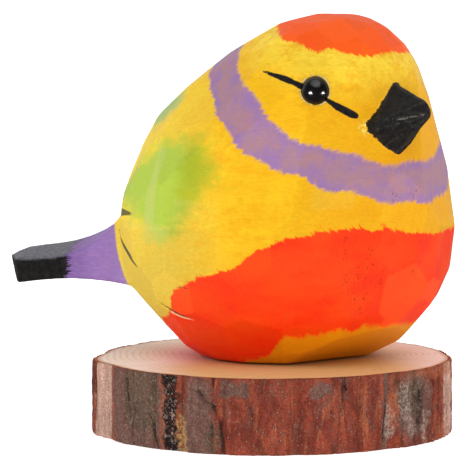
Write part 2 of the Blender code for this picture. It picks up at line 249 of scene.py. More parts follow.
# Cracks (depth below nought) and ridges of the bark: depth, half width, and points of turn and height
BARK_LINES = (
    (-0.55, 0.32, ((-95.0, 11.6), (-92.2, 9.5), (-89.6, 8.6), (-87.8, 5.8), (-86.6, 2.6), (-86.6, 0.0))),
    (-0.35, 0.22, ((-89.6, 8.6), (-87.6, 10.0), (-87.2, 13.6))),
    (0.22, 0.34, ((-96.5, 11.8), (-93.4, 9.4), (-90.9, 7.8), (-89.2, 5.4), (-88.0, 2.4), (-87.9, 0.0))),
    (0.18, 0.40, ((-73.6, 12.5), (-73.0, 7.0), (-72.2, 1.5), (-71.2, 0.0))),
    (0.22, 0.40, ((-45.2, 10.2), (-42.8, 6.5), (-41.0, 3.6), (-39.2, 0.0))),
    (-0.30, 0.22, ((-44.4, 9.0), (-41.8, 5.6), (-40.2, 3.2), (-38.4, 0.0))),
    (-0.75, 0.42, ((-9.5, 12.4), (-8.0, 9.6), (-10.0, 7.0), (-8.6, 4.0), (-9.4, 0.0))),
    (-0.75, 0.38, ((-3.0, 12.8), (-1.6, 9.4), (-3.4, 6.2), (-1.4, 3.2), (-2.0, 0.6))),
    (-0.65, 0.36, ((5.0, 12.0), (4.0, 8.2), (6.2, 5.0), (4.8, 1.0))),
    (-0.55, 0.34, ((12.0, 13.0), (10.8, 8.0), (13.2, 3.0), (12.0, 0.0))),
    (0.3, 0.4, ((0.8, 11.0), (1.6, 7.0), (0.6, 3.0))),
    (-0.35, 0.3, ((-32.6, 12.6), (-31.4, 8.0), (-32.4, 3.0), (-31.8, 0.0))),
    (-0.5, 0.26, ((-16.4, 10.2), (-15.2, 7.0), (-16.6, 4.2))),
    (-0.5, 0.3, ((-126.0, 12.0), (-125.2, 8.0), (-126.4, 3.0))),
    (-0.5, 0.3, ((-114.0, 6.5), (-112.0, 3.4), (-110.4, 0.0))),
    (-0.6, 0.34, ((40.0, 14.0), (42.0, 9.0), (40.6, 4.0), (42.0, 0.0))),
    (-0.6, 0.34, ((72.0, 14.0), (70.0, 8.0), (72.6, 0.0))),
    (-0.6, 0.34, ((97.0, 14.0), (98.5, 7.0), (96.0, 0.0))),
    (-0.6, 0.34, ((126.0, 13.0), (124.0, 8.0), (127.0, 1.0))),
    (0.4, 0.5, ((149.0, 14.0), (151.0, 6.0), (149.6, 0.0))),
    (-0.6, 0.34, ((170.0, 14.0), (168.0, 6.0), (169.6, 0.0))),
)

# Camera: it looks level with the slice from the bird's right and a little from the front
PHOTO_WIDTH = 465.0
PHOTO_HEIGHT = 466.0
CAMERA_TURN = math.radians(20.0)
CAMERA_TILT = math.radians(5.5)
CAMERA_DISTANCE = 800.0
PIXELS_PER_MM = 5.32
SLICE_TOP = 14.0
SLICE_TOP_PIXEL = (274.0, 356.2)
SENSOR_WIDTH = 36.0


def length(name, description, default, low=0.0):
    """A length that a user may change, given in millimetres."""
    return FloatProperty(
        name=name, description=description, default=default * MM, min=low, unit="LENGTH", precision=5
    )


def tint(name, description, red, green, blue):
    """A colour that a user may change, given in the steps of a display, 0 to 255."""
    return FloatVectorProperty(
        name=name, description=description, default=(red / 255, green / 255, blue / 255),
        subtype="COLOR_GAMMA", min=0.0, max=1.0, size=3,
    )


class BirdSettings(bpy.types.PropertyGroup):
    """Sizes and paints of the bird."""

    step: length("Surface step", "Side of the small squares of the bird's surface", 0.45, 0.2 * MM)
    soft_rounds: IntProperty(
        name="Softening", description="Rounds that soften the knife's edges", default=2, min=0
    )
    crisp_rounds: IntProperty(
        name="Crisp softening", description="Rounds on the beak and tail", default=1, min=0
    )
    yellow: tint("Yellow", "Paint of the head, breast and back", 244, 190, 14)
    deep_yellow: tint("Deep yellow", "Where the yellow lies thicker", 237, 166, 0)
    pale_yellow: tint("Pale yellow", "Where the yellow lies thin", 252, 219, 64)
    # Dull yellow also paints the painted sheen on the pale cuts, and the duller yellow low on the flanks
    dull_yellow: tint("Dull yellow", "Thin yellow on some cuts of the flanks", 230, 199, 78)
    orange: tint("Orange", "Paint of the crown and belly", 255, 50, 0)
    light_orange: tint("Light orange", "Where the orange lies thin", 255, 82, 6)
    bright_orange: tint("Bright orange", "Paint of the crown", 255, 104, 14)
    mauve: tint("Mauve", "Paint of the collar", 170, 128, 144)
    violet: tint("Violet", "Touches in the collar and the tail", 150, 114, 180)
    plum: tint("Plum", "Purple beside the black of the tail", 134, 100, 166)
    green: tint("Green", "Paint of the wings", 175, 186, 40)
    deep_green: tint("Deep green", "Where the green lies thicker", 157, 177, 35)
    pale_green: tint("Pale green", "Where the green lies thin", 198, 208, 122)
    lime: tint("Lime", "Fresh green along the back of the wings", 174, 204, 72)
    teal: tint("Teal", "Touches on the shoulders", 140, 190, 128)
    # Ochre under the belly is partly painted shade: the underside's yellow made darker and warmer, as in
    # shade with orange bounce light
    ochre_and_shade: tint("Ochre", "Paint under the belly", 234, 146, 2)
    rose: tint("Rose", "Warm touches in the collar", 184, 130, 132)
    pale_violet: tint("Pale violet", "Thin violet", 178, 146, 202)
    black: tint("Black", "Paint of the beak, the stripes and the tail's tip", 26, 24, 24)
    soft_black: tint("Soft black", "Where the black lies thin", 40, 37, 36)
    scuff: tint("Scuffs", "Scratches in the black", 132, 126, 116)
    shadow: tint("Dark green", "Paint of the marks on the wings", 62, 66, 46)
    # Dark red also paints the shade in the slips of the knife
    dark_red: tint("Dark red", "Specks in the belly and the cut of the knife", 120, 26, 10)
    lemon: tint("Lemon", "Chipped specks beside the beak", 250, 232, 120)
    worn: tint("Worn wood", "Bare wood where paint is chipped", 244, 222, 168)
    # Painted sheen: this grey on the upward faces of the black tail tip stands for the reflection of the
    # light above
    gloss: tint("Rubbed black", "Black rubbed to a shine on top of the tail", 112, 112, 122)


class EyeSettings(bpy.types.PropertyGroup):
    """Sizes and colour of the eye beads."""

    radius: length("Radius", "Radius of each bead", EYE_RADIUS)
    colour: tint("Colour", "Colour of the beads", 10, 8, 8)


class SliceSettings(bpy.types.PropertyGroup):
    """Sizes and colours of the slice of log."""

    bark_thickness: length("Bark", "Thickness of the bark", BARK_THICKNESS, 0.3 * MM)
    plate_depth: length("Plates", "Height of the bark's plates", 0.5)
    roughness_depth: length("Roughness", "Height of the bark's fine roughness", 0.26)
    wood: tint("Wood", "Sawn end grain", 246, 222, 188)
    pale_wood: tint("Pale wood", "End grain away from the heart", 252, 240, 232)
    ring: tint("Growth ring", "Late wood in the growth rings", 214, 160, 116)
    heart: tint("Heart", "Wood round the pith", 222, 166, 100)
    # Warm wood is painted bounce light: the orange that the belly throws on the wood below it
    warm: tint("Warm wood", "Wood stained by the paint under the belly", 218, 172, 38)
    inner_bark: tint("Inner bark", "Cut bark at the rim", 196, 118, 72)
    bark: tint("Bark", "Reddish bark", 160, 72, 48)
    deep_bark: tint("Deep bark", "Darker bark", 120, 48, 34)
    dark: tint("Crevice", "Black bark in the crevices", 30, 25, 26)
    flake: tint("Flake", "Thin dark flake that stands off the edge", 56, 36, 38)
    pale: tint("Pale strip", "Bark peeled to its pale side", 206, 166, 148)
    grey: tint("Grey bark", "Weathered bark", 116, 86, 76)
    olive: tint("Olive bark", "Bark under green algae", 98, 82, 62)
    tan: tint("Tan flakes", "Dry flakes of bark", 204, 160, 98)
    orange: tint("Orange bark", "Fresh inner bark", 182, 102, 66)
    lichen: tint("Lichen", "Pale grey lichen", 176, 156, 142)


class StageSettings(bpy.types.PropertyGroup):
    """Sizes and colours of the floor and the light."""

    floor_size: length("Floor", "Side of the floor", 6000.0)
    floor: tint("Floor colour", "Colour of the floor", 250, 250, 250)
    world: FloatProperty(
        name="Room light", description="Strength of the light all round", default=0.80, min=0.0
    )
    key: FloatProperty(name="Top light", description="Strength of the soft box above", default=4.5, min=0.0)


# Geometry helpers


def smooth(value, low, high):
    """0 up to the low value, 1 from the high one, and a smooth rise between them."""
    part = np.clip((value - low) / (high - low), 0.0, 1.0)
    return part * part * (3.0 - 2.0 * part)


def mesh_arrays(mesh):
    """A mesh's points in millimetres, and its edges."""
    points = np.empty(len(mesh.vertices) * 3)
    mesh.vertices.foreach_get("co", points)
    edges = np.empty(len(mesh.edges) * 2, dtype=np.int32)
    mesh.edges.foreach_get("vertices", edges)
    return points.reshape(-1, 3) / MM, edges.reshape(-1, 2)


def put_points(mesh, points):
    """Write points in millimetres back to a mesh."""
    mesh.vertices.foreach_set("co", (points * MM).ravel())
    mesh.update()


def point_normals(mesh):
    """The outward normal at each point of a mesh."""
    normals = np.empty(len(mesh.vertices) * 3)
    mesh.vertex_normals.foreach_get("vector", normals)
    return normals.reshape(-1, 3)


def store(mesh, name, values):
    """Keep one number for each point of a mesh, for its material."""
    layer = mesh.attributes.new(name, "FLOAT", "POINT")
    layer.data.foreach_set("value", np.asarray(values, dtype=np.float32))


def soften(points, edges, amounts, rounds):
    """Draw each point towards the middle of its neighbours by its own amount, some rounds over."""
    total = len(points)
    ends = np.concatenate((edges[:, 0], edges[:, 1]))
    others = np.concatenate((edges[:, 1], edges[:, 0]))
    count = np.bincount(ends, minlength=total)
    for _ in range(rounds):
        middle = np.stack([np.bincount(ends, points[others, axis], total) for axis in range(3)], axis=1)
        points = points + amounts[:, None] * (middle / count[:, None] - points)
    return points


def even_copy(source, step):
    """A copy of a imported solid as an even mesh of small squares."""
    item = bpy.data.objects.new("even_copy", source.data.copy())
    bpy.context.scene.collection.objects.link(item)
    change = item.modifiers.new("even", "REMESH")
    change.mode = "VOXEL"
    change.voxel_size = step
    change.use_smooth_shade = True
    graph = bpy.context.evaluated_depsgraph_get()
    mesh = bpy.data.meshes.new_from_object(item.evaluated_get(graph))
    bpy.data.objects.remove(item)
    mesh.materials.clear()
    return mesh


def new_piece(name, mesh, material, slot, *nodes):
    """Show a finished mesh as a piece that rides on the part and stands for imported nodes."""
    for old in [item for item in bpy.data.objects if item.name == name]:
        bpy.data.objects.remove(old)
    mesh.name = name
    mesh.materials.append(material)
    mesh.shade_smooth()
    piece = bpy.data.objects.new(name, mesh)
    bpy.context.scene.collection.objects.link(piece)
    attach(piece, "root")
    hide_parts(*nodes)
    return piece


def mesh_from_rings(rings, joined):
    """A mesh from rings of points: the last ring joined to the first, or else a cap at each end."""
    rings = np.asarray(rings)
    rows, around = rings.shape[:2]
    faces = []
    for row in range(rows if joined else rows - 1):
        below = row * around
        above = (row + 1) % rows * around
        for spot in range(around):
            after = (spot + 1) % around
            faces.append((below + spot, below + after, above + after, above + spot))
    if not joined:
        last = (rows - 1) * around
        faces += [tuple(range(around))[::-1], tuple(range(last, last + around))]
    mesh = bpy.data.meshes.new("rings")
    mesh.from_pydata((rings.reshape(-1, 3) * MM).tolist(), [], faces)
    return mesh


def noise_round(turns, reach, level):
    """Soft noise at turns round a circle of a reach, so that its two ends meet."""
    return np.array([noise.noise(Vector((math.cos(t) * reach, math.sin(t) * reach, level))) for t in turns])


def table_at(angles, table):
    """Read a table of angle and value at many angles, the same on both sides."""
    turns, values = zip(*table)
    return np.interp(np.abs(np.degrees(angles)), turns, values)


def stroke_distance(points, stroke):
    """Distance of points from a tapered stroke of points and half widths, below nought inside it."""
    best = np.full(len(points), 1e3)
    for first, second in zip(stroke, stroke[1:]):
        start, end = np.array(first[:3]), np.array(second[:3])
        run = end - start
        part = np.clip((points - start) @ run / (run @ run), 0.0, 1.0)
        away = np.linalg.norm(points - start - part[:, None] * run, axis=1)
        best = np.minimum(best, away - (first[3] + (second[3] - first[3]) * part))
    return best


def polygon_distance(across, up, corners):
    """Distance of points from a flat outline, below nought inside it."""
    best = np.full(len(across), 1e3)
    inside = np.zeros(len(across), dtype=bool)
    for (x0, y0), (x1, y1) in zip(corners, corners[1:] + corners[:1]):
        dx, dy = x1 - x0, y1 - y0
        part = np.clip(((across - x0) * dx + (up - y0) * dy) / (dx * dx + dy * dy), 0.0, 1.0)
        best = np.minimum(best, np.hypot(across - x0 - part * dx, up - y0 - part * dy))
        crosses = (y0 > up) != (y1 > up)
        reach = x0 + (up - y0) / (dy if dy else 1e-9) * dx
        inside ^= crosses & (across < reach)
    return np.where(inside, -best, best)


def head_way(pitch):
    """The way that the face looks, raised by a pitch."""
    level = math.cos(pitch)
    return np.array([math.cos(HEAD_TURN) * level, math.sin(HEAD_TURN) * level, math.sin(pitch)])


def about_axis(points, tilt):
    """The turn of points about an axis of the head from its top, their angle from it, and their radius."""
    way = head_way(tilt)
    right = np.array([math.sin(HEAD_TURN), -math.cos(HEAD_TURN), 0.0])
    top = np.cross(right, way)
    out = points - np.array(HEAD_CENTRE)
    radius = np.linalg.norm(out, axis=1)
    away = np.arccos(np.clip(out @ way / radius, -1.0, 1.0))
    return np.arctan2(out @ right, out @ top), away, radius


def beak_places(points):
    """Where points lie along the beak, and their distance from its outline as seen from its tip."""
    way = Vector(head_way(BEAK_PITCH))
    aside = Vector((-way.y, way.x, 0.0)).normalized()
    up = way.cross(aside).normalized()
    out = points - np.array(BEAK_BASE)
    both = list(BEAK_OUTLINE) + [(-across, rise) for across, rise in reversed(BEAK_OUTLINE)]
    corners = [
        ((across + BEAK_LEAN * min(rise, 0.0)) * BEAK_HALF_WIDTH, rise * BEAK_HALF_HEIGHT)
        for across, rise in both
    ]
    return out @ np.array(way), polygon_distance(out @ np.array(aside), out @ np.array(up), corners)


def mirrored_stroke(stroke, centre, turn, extra):
    """A stroke mirrored to the other side of an upright plane through a centre, and turned on past it."""
    made = []
    for x, y, z, half in stroke:
        angle = 2 * turn - math.atan2(y - centre[1], x - centre[0]) + extra
        reach = math.hypot(x - centre[0], y - centre[1])
        made.append((centre[0] + reach * math.cos(angle), centre[1] + reach * math.sin(angle), z, half))
    return made


def laid_on(stroke, tree):
    """A stroke with its points moved to the nearest places of the surface."""
    return [(*(tree.find_nearest(Vector(point[:3]) * MM)[0] / MM), point[3]) for point in stroke]


def node_centre(name):
    """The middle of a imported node, in millimetres."""
    low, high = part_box(name)
    return (np.array(low) + np.array(high)) / 2 / MM


def socket_way(name, points):
    """The way that a bead looks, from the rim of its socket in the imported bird."""
    centre = node_centre(name)
    rim = points[np.linalg.norm(points - centre, axis=1) < SOCKET_RADIUS + 0.4]
    out = rim.mean(axis=0) - centre
    return centre, out / np.linalg.norm(out)


def degrees_between(turns, turn):
    """How far turns in degrees lie past another, from -180 to 180."""
    return (turns - turn + 180.0) % 360.0 - 180.0


def zone_offsets(kind, turns, heights):
    """How far places lie aside of and above the middle of each zone of a kind, in half spreads."""
    for turn, height, wide, tall in BARK_ZONES[kind]:
        yield np.abs(degrees_between(turns, turn)) / wide, np.abs(heights - height) / tall


# Shader helpers


def linear(colour):
    """A display colour as the linear colour that shaders take."""
    parts = [part / 12.92 if part <= 0.04045 else ((part + 0.055) / 1.055) ** 2.4 for part in colour]
    return (*parts, 1.0)


def sum_node(operation, swapped=False):
    """A method that writes one of Python's sums as a shader node."""

    def method(self, other):
        return self.graph.math(operation, *((other, self) if swapped else (self, other)))

    return method


class Value:
    """The output of a shader node. Python's sums and the methods below add the nodes that follow it."""

    def __init__(self, graph, socket):
        self.graph = graph
        self.socket = socket

    __add__ = sum_node("ADD")
    __radd__ = sum_node("ADD", swapped=True)
    __sub__ = sum_node("SUBTRACT")
    __rsub__ = sum_node("SUBTRACT", swapped=True)
    __mul__ = sum_node("MULTIPLY")
    __rmul__ = sum_node("MULTIPLY", swapped=True)
    __truediv__ = sum_node("DIVIDE")
    __rtruediv__ = sum_node("DIVIDE", swapped=True)

    def rise(self, low, high, start=0.0, end=1.0):
        """A smooth rise of this number from one value to another."""
        inputs = {"Value": self, "From Min": low, "From Max": high, "To Min": start, "To Max": end}
        return self.graph.value("ShaderNodeMapRange", "Result", inputs, interpolation_type="SMOOTHSTEP")

    def mix(self, part, colour):
        """This colour with a part of another in it."""
        return self.graph.mix(part, self, colour)

    def shade(self, number):
        """This colour made lighter or darker by a number."""
        inputs = {0: 1.0, 6: self, 7: number}
        return self.graph.value("ShaderNodeMix", 2, inputs, data_type="RGBA", blend_type="MULTIPLY")

    def stretch(self, x, y, z):
        """This vector with each part made longer or shorter."""
        return self.graph.value("ShaderNodeVectorMath", 0, {0: self, 1: (x, y, z)}, operation="MULTIPLY")


class Graph:
    """Short calls that add shader nodes to one tree and join them."""

    def __init__(self, tree):
        self.tree = tree

    def feed(self, socket, value):
        """Join an output to a socket, or give the socket a plain value or a display colour."""
        if isinstance(value, Value):
            self.tree.links.new(value.socket, socket)
        elif socket.type == "RGBA" and len(value) == 3:
            socket.default_value = linear(value)
        else:
            socket.default_value = value

    def node(self, kind, inputs=(), **settings):
        """Add a node with its settings and inputs."""
        made = self.tree.nodes.new(kind)
        for name, value in settings.items():
            setattr(made, name, value)
        for key, value in dict(inputs).items():
            self.feed(made.inputs[key], value)
        return made

    def value(self, kind, output, inputs=(), **settings):
        """Add a node and give back one of its outputs."""
        return Value(self, self.node(kind, inputs, **settings).outputs[output])

    def math(self, operation, *values):
        """A sum on numbers."""
        return self.value("ShaderNodeMath", 0, dict(enumerate(values)), operation=operation)

    def largest(self, first, *others):
        """The largest of some numbers."""
        for other in others:
            first = self.math("MAXIMUM", first, other)
        return first

    def mix(self, part, first, second):
        """A blend of two colours."""
        return self.value("ShaderNodeMix", 2, {0: part, 6: first, 7: second}, data_type="RGBA")

    def join(self, x, y, z):
        """A vector from three numbers."""
        return self.value("ShaderNodeCombineXYZ", 0, {0: x, 1: y, 2: z})

    def split(self, vector):
        """The three numbers of a vector."""
        return [Value(self, socket) for socket in self.node("ShaderNodeSeparateXYZ", {0: vector}).outputs]

    def noise(self, vector, scale, detail=2.0, roughness=0.5, distortion=0.0):
        """Soft random variation from 0 to 1."""
        inputs = {"Vector": vector, "Scale": scale, "Detail": detail, "Roughness": roughness}
        return self.value("ShaderNodeTexNoise", 0, {**inputs, "Distortion": distortion})

    def group(self, name, output, **inputs):
        """One of the outputs of a shader node group."""
        return self.value("ShaderNodeGroup", output, inputs, node_tree=bpy.data.node_groups[name])

    def kept(self, name):
        """A number kept at the points of the mesh."""
        return self.value("ShaderNodeAttribute", "Fac", attribute_type="GEOMETRY", attribute_name=name)

    def place(self):
        """The place on the object, in millimetres."""
        return self.value("ShaderNodeTexCoord", "Object").stretch(1 / MM, 1 / MM, 1 / MM)


NUMBER = "NodeSocketFloat"
VECTOR = "NodeSocketVector"


def new_group(name, inputs, outputs):
    """A shader node group's graph, its inputs by name, and the sockets of its end."""
    old = bpy.data.node_groups.get(name)
    if old:
        bpy.data.node_groups.remove(old)
    tree = bpy.data.node_groups.new(name, "ShaderNodeTree")
    for label, kind, default in inputs:
        socket = tree.interface.new_socket(name=label, in_out="INPUT", socket_type=kind)
        if default is not None:
            socket.default_value = default
    for label in outputs:
        tree.interface.new_socket(name=label, in_out="OUTPUT", socket_type=NUMBER)
    graph = Graph(tree)
    start = tree.nodes.new("NodeGroupInput").outputs
    end = tree.nodes.new("NodeGroupOutput").inputs
    return graph, {label: Value(graph, start[label]) for label, _, _ in inputs}, end


def brushed_edge_group():
    """A painted edge that ends in ragged bristle strokes: 1 on the painted side, where Away is below 0."""
    graph, given, end = new_group(
        "brushed_edge",
        (
            ("Away", NUMBER, 0.0), ("Run", NUMBER, 0.0), ("Bristle", NUMBER, 1.3), ("Reach", NUMBER, 0.8),
            ("Hairs", NUMBER, 1.0), ("Wander", NUMBER, 0.7), ("Blur", NUMBER, 0.22), ("Lean", NUMBER, 0.3),
        ),
        ("Mask",),
    )
    away, blur = given["Away"], given["Blur"]
    leaned = given["Run"] + away * given["Lean"]
    slow = away * 0.22
    bristles = graph.noise(graph.join(leaned / given["Bristle"], slow, 0.0), 1.0, 5.0, 0.78)
    clumps = graph.noise(graph.join(leaned * 0.17, 0.0, 5.0), 1.0)
    thin = graph.noise(graph.join(leaned * 3.4, slow * 1.5, 8.0), 1.0, 2.0, 0.6)
    strokes = (bristles - 0.5) * (given["Reach"] * 4.6)
    drift = (clumps - 0.5) * (given["Wander"] * 3.6)
    spikes = graph.largest(thin - 0.57, 0.0) * (given["Hairs"] * -9.0)
    graph.feed(end["Mask"], ((away + strokes) + (drift + spikes)).rise(blur * -1.0, blur, 1.0, 0.0))


def streak_group():
    """Fine streaks that run one way, from 0 to 1, as brushed paint or straight grain leaves them."""
    graph, given, end = new_group(
        "fine_streaks",
        (("Place", VECTOR, None), ("Across", NUMBER, 2.0), ("Seed", NUMBER, 0.0)),
        ("Streaks", "Patches"),
    )
    shift = graph.join(given["Seed"], given["Seed"], given["Seed"])
    moved = graph.value("ShaderNodeVectorMath", 0, {0: given["Place"], 1: shift}, operation="ADD")
    graph.feed(end["Streaks"], graph.noise(moved, given["Across"], 3.0, 0.6, 0.15).rise(0.3, 0.7))
    graph.feed(end["Patches"], graph.noise(moved, given["Across"] * 0.22).rise(0.32, 0.68))


def speck_group():
    """Scattered small specks: 1 on a speck. Amount is the share of cells that hold one."""
    graph, given, end = new_group(
        "specks",
        (("Place", VECTOR, None), ("Size", NUMBER, 1.0), ("Amount", NUMBER, 0.3), ("Radius", NUMBER, 0.3)),
        ("Mask",),
    )
    scale = 1.0 / given["Size"]
    cell = graph.node("ShaderNodeTexVoronoi", {"Vector": given["Place"], "Scale": scale}).outputs
    chance = graph.value("ShaderNodeSeparateColor", 0, {0: Value(graph, cell["Color"])})
    wobble = graph.noise(given["Place"], scale * 3.0, 1.0)
    edge = Value(graph, cell["Distance"]) + (wobble - 0.5) * 0.3
    spot = edge.rise(given["Radius"] * 0.6, given["Radius"], 1.0, 0.0)
    graph.feed(end["Mask"], spot * graph.math("LESS_THAN", chance, given["Amount"]))


def new_material(name):
    """An empty material with its graph and the sockets of its Principled shader."""
    old = bpy.data.materials.get(name)
    if old:
        bpy.data.materials.remove(old)
    material = bpy.data.materials.new(name)
    material.use_nodes = True
    return material, Graph(material.node_tree), material.node_tree.nodes["Principled BSDF"].inputs


def dress(graph, sockets, colour, roughness, gloss):
    """Feed the Principled shader its colour, its roughness and the strength of its highlight."""
    graph.feed(sockets["Base Color"], colour)
    graph.feed(sockets["Roughness"], roughness)
    graph.feed(sockets["Specular IOR Level"], gloss)


def bump(graph, sockets, height, distance, strength):
    """Feed a height in millimetres to the shader's normal."""
    inputs = {"Height": height, "Distance": distance * MM, "Strength": strength}
    graph.feed(sockets["Normal"], graph.value("ShaderNodeBump", 0, inputs))


# Materials


def painted_wood(paint):
    """The bird's paint: brushed areas over each other on carved wood."""
    material, graph, sockets = new_material("painted_carving")
    place, kept = graph.place(), graph.kept
    lengthwise, upright, thick = (
        graph.group("fine_streaks", output, Place=place.stretch(*sides), Across=across, Seed=seed)
        for output, sides, across, seed in (
            ("Streaks", (0.12, 1.0, 1.6), 2.2, 0.0),
            ("Streaks", (1.3, 1.3, 0.16), 1.8, 3.0),
            ("Patches", (0.5, 0.8, 1.0), 0.9, 9.0),
        )
    )
    mottle = graph.noise(place, 0.9, 3.0, 0.6)
    chips = graph.noise(place, 1.6, 3.0, 0.7)
    knife, tone, pale_sheen_cut = kept("knife_edge"), kept("cut_tone"), kept("pale_sheen_cut")
    backness, wing_turn, crown_away = kept("backness"), kept("wing_turn"), kept("crown_away")

    def edge(name, run, **values):
        return graph.group("brushed_edge", "Mask", Away=kept(name), Run=kept(run), **values)

    def chipped(name, amount):
        return kept(name) + (chips - 0.5) * amount

    # Yellow: deeper on the breast, paler on the back and under the crown, and paler on some cuts as a painted
    # sheen
    yellow = graph.mix(thick * 0.35 + backness.rise(-6.0, -30.0) * 0.75, paint.yellow, paint.deep_yellow)
    brow = crown_away.rise(11.0, 1.0, 0.0, 0.85)
    thin = graph.largest(backness.rise(-4.0, 24.0) * 0.9, brow) + tone.rise(0.05, 0.4) * 0.1
    yellow = yellow.mix(thin * mottle.rise(0.3, 0.6, 0.7, 1.0), paint.pale_yellow)
    flank = wing_turn.rise(88.0, 128.0, 0.0, 0.6) * kept("belly_top").rise(17.0, 7.0)
    # The pale cuts get dull yellow as a painted sheen; low on the flanks the yellow is made duller and darker
    dull = graph.largest(pale_sheen_cut * 0.9, flank) * mottle.rise(0.3, 0.6, 0.75, 1.0)
    yellow = yellow.mix(dull, paint.dull_yellow).shade(flank.rise(0.0, 0.6, 1.0, 0.91))
    warm = graph.noise(place.stretch(0.6, 1.0, 1.0), 0.42, 5.0, 0.75).rise(0.47, 0.64)
    yellow = yellow.mix(warm * backness.rise(18.0, -4.0, 0.15, 0.6), paint.deep_yellow)
    flecks = graph.noise(place.stretch(0.35, 1.0, 1.1), 2.3, 4.0, 0.75)
    yellow = yellow.shade(flecks.rise(0.3, 0.7, 0.93, 1.05))

    # Ochre under the belly, partly the underside's yellow painted darker and warmer as painted shade and
    # orange bounce light, then the green wings with soft blotchy edges
    ochre_and_shade = edge("belly_low", "belly_run", Reach=0.9, Wander=1.5, Hairs=0.4, Blur=0.9)
    blotch = (graph.noise(place.stretch(0.35, 0.7, 1.0), 0.5, 4.0, 0.65) - 0.5) * 8.0
    green = graph.mix(thick, paint.green, paint.deep_green)
    green = green.mix((wing_turn + blotch * 2.0).rise(112.0, 126.0), paint.lime)
    # Painted sheen: the green turns paler on the pale cuts
    green = green.mix(pale_sheen_cut * 0.5, paint.pale_green)
    wing = (kept("wing_away") + blotch).rise(-3.6, 2.2, 1.0, 0.0)
    wing = wing * (1.0 - wing_turn.rise(120.0, 98.0, 0.04, 0.5) * (1.0 - lengthwise))
    shoulder = (kept("shoulder_away") + blotch).rise(-1.6, 2.4, 0.8, 0.0)
    colour = yellow.mix(ochre_and_shade, paint.ochre_and_shade).mix(wing * 0.95, green).mix(shoulder, paint.teal)

    # Orange crown and belly
    orange = graph.mix(thick * 0.5, paint.orange, paint.light_orange)
    orange = orange.mix(tone.rise(0.0, 0.4) * 0.5, paint.light_orange)
    orange = orange.mix(crown_away.rise(3.0, 0.0, 0.0, 0.6), paint.bright_orange)
    belly = edge("belly_top", "belly_run", Reach=0.8, Wander=0.7, Hairs=0.75, Lean=0.7) * (1.0 - ochre_and_shade)
    crown = edge("crown_away", "crown_run", Reach=0.85, Wander=0.8, Hairs=0.6, Lean=-0.5, Blur=0.28)
    vivid = graph.largest(belly, crown)
    colour = colour.mix(vivid * upright.rise(0.0, 0.35, 0.97, 1.0), orange)

    # Mauve collar with violet touches, more of them along its edges
    face_side = edge("collar_face", "collar_run", Reach=0.75, Wander=0.7, Hairs=0.4, Lean=0.5, Blur=0.5)
    body_side = edge("collar_body", "collar_run", Reach=0.7, Wander=1.0, Hairs=0.4, Lean=0.5, Blur=0.35)
    edges = graph.math("MINIMUM", kept("collar_face"), kept("collar_body") * -1.0).rise(0.3, 2.4, 0.14, 0.0)
    patchy = (graph.noise(place, 0.24, 5.0, 0.7) + edges).rise(0.42, 0.7)
    rosy = graph.noise(place, 0.33, 3.0, 0.6, 0.4).rise(0.52, 0.68, 0.0, 0.45)
    scratchy = graph.noise(graph.join(kept("collar_run"), kept("collar_face") * 0.45, 0.0), 1.9, 3.0, 0.7)
    mauve = graph.mix(patchy * 0.8, paint.mauve, paint.violet).mix(rosy, paint.rose)
    mauve = mauve.mix(scratchy.rise(0.56, 0.75, 0.0, 0.28), paint.pale_violet)
    colour = colour.mix(body_side * (1.0 - face_side) * 0.97, mauve)

    # Tail: purple off the body, paler towards it, black at its end
    tail = chipped("off_body", 0.5).rise(-0.15, 0.25)
    purple = graph.mix(kept("tail_run").rise(1.0, 8.0), paint.plum, paint.violet)
    purple = purple.mix(kept("tail_run").rise(7.0, 17.0, 0.0, 0.6), paint.pale_violet)
    purple = purple.mix(lengthwise.rise(0.35, 1.0, 0.0, 0.2), paint.pale_violet)
    colour = colour.mix(tail, purple.mix(mottle.rise(0.5, 0.7, 0.0, 0.25), paint.mauve))
    tip = edge("tail_run", "tail_across", Bristle=1.0, Reach=2.0, Wander=1.2, Hairs=0.8, Blur=0.4, Lean=0.0)
    tip = tip * tail

    # Bare wood round the eyes and at the corner of the beak
    rim = kept("eye_away") + (graph.noise(place, 2.4, 3.0, 0.7) - 0.5) * 1.3
    bare = rim.rise(0.08, 0.28, 1.0, 0.0) * graph.noise(place, 0.55).rise(0.44, 0.5)
    corner = graph.noise(place, 2.9, 2.0, 0.6).rise(0.5, 0.57) * kept("corner_away").rise(0.5, 2.0, 0.95, 0.0)
    colour = colour.mix(bare, paint.worn).mix(corner, paint.lemon)

    # Streaks of grain and brush, the tones of the cuts, and their edges a little lighter as wear and painted
    # sheen
    plain = 1.0 - vivid
    colour = colour.shade(1.0 - (1.0 - lengthwise) * plain * 0.05)
    colour = colour.shade(1.0 - (1.0 - upright) * vivid * 0.07)
    colour = colour.shade(tone.rise(-0.45, 0.45, 0.955, 1.045))
    edge_wear_and_sheen = knife.rise(0.0, 0.7, 1.0, 0.0) * (1.0 - tail) * mottle.rise(0.35, 0.65, 0.0, 0.055)
    colour = colour.shade(1.0 + edge_wear_and_sheen)

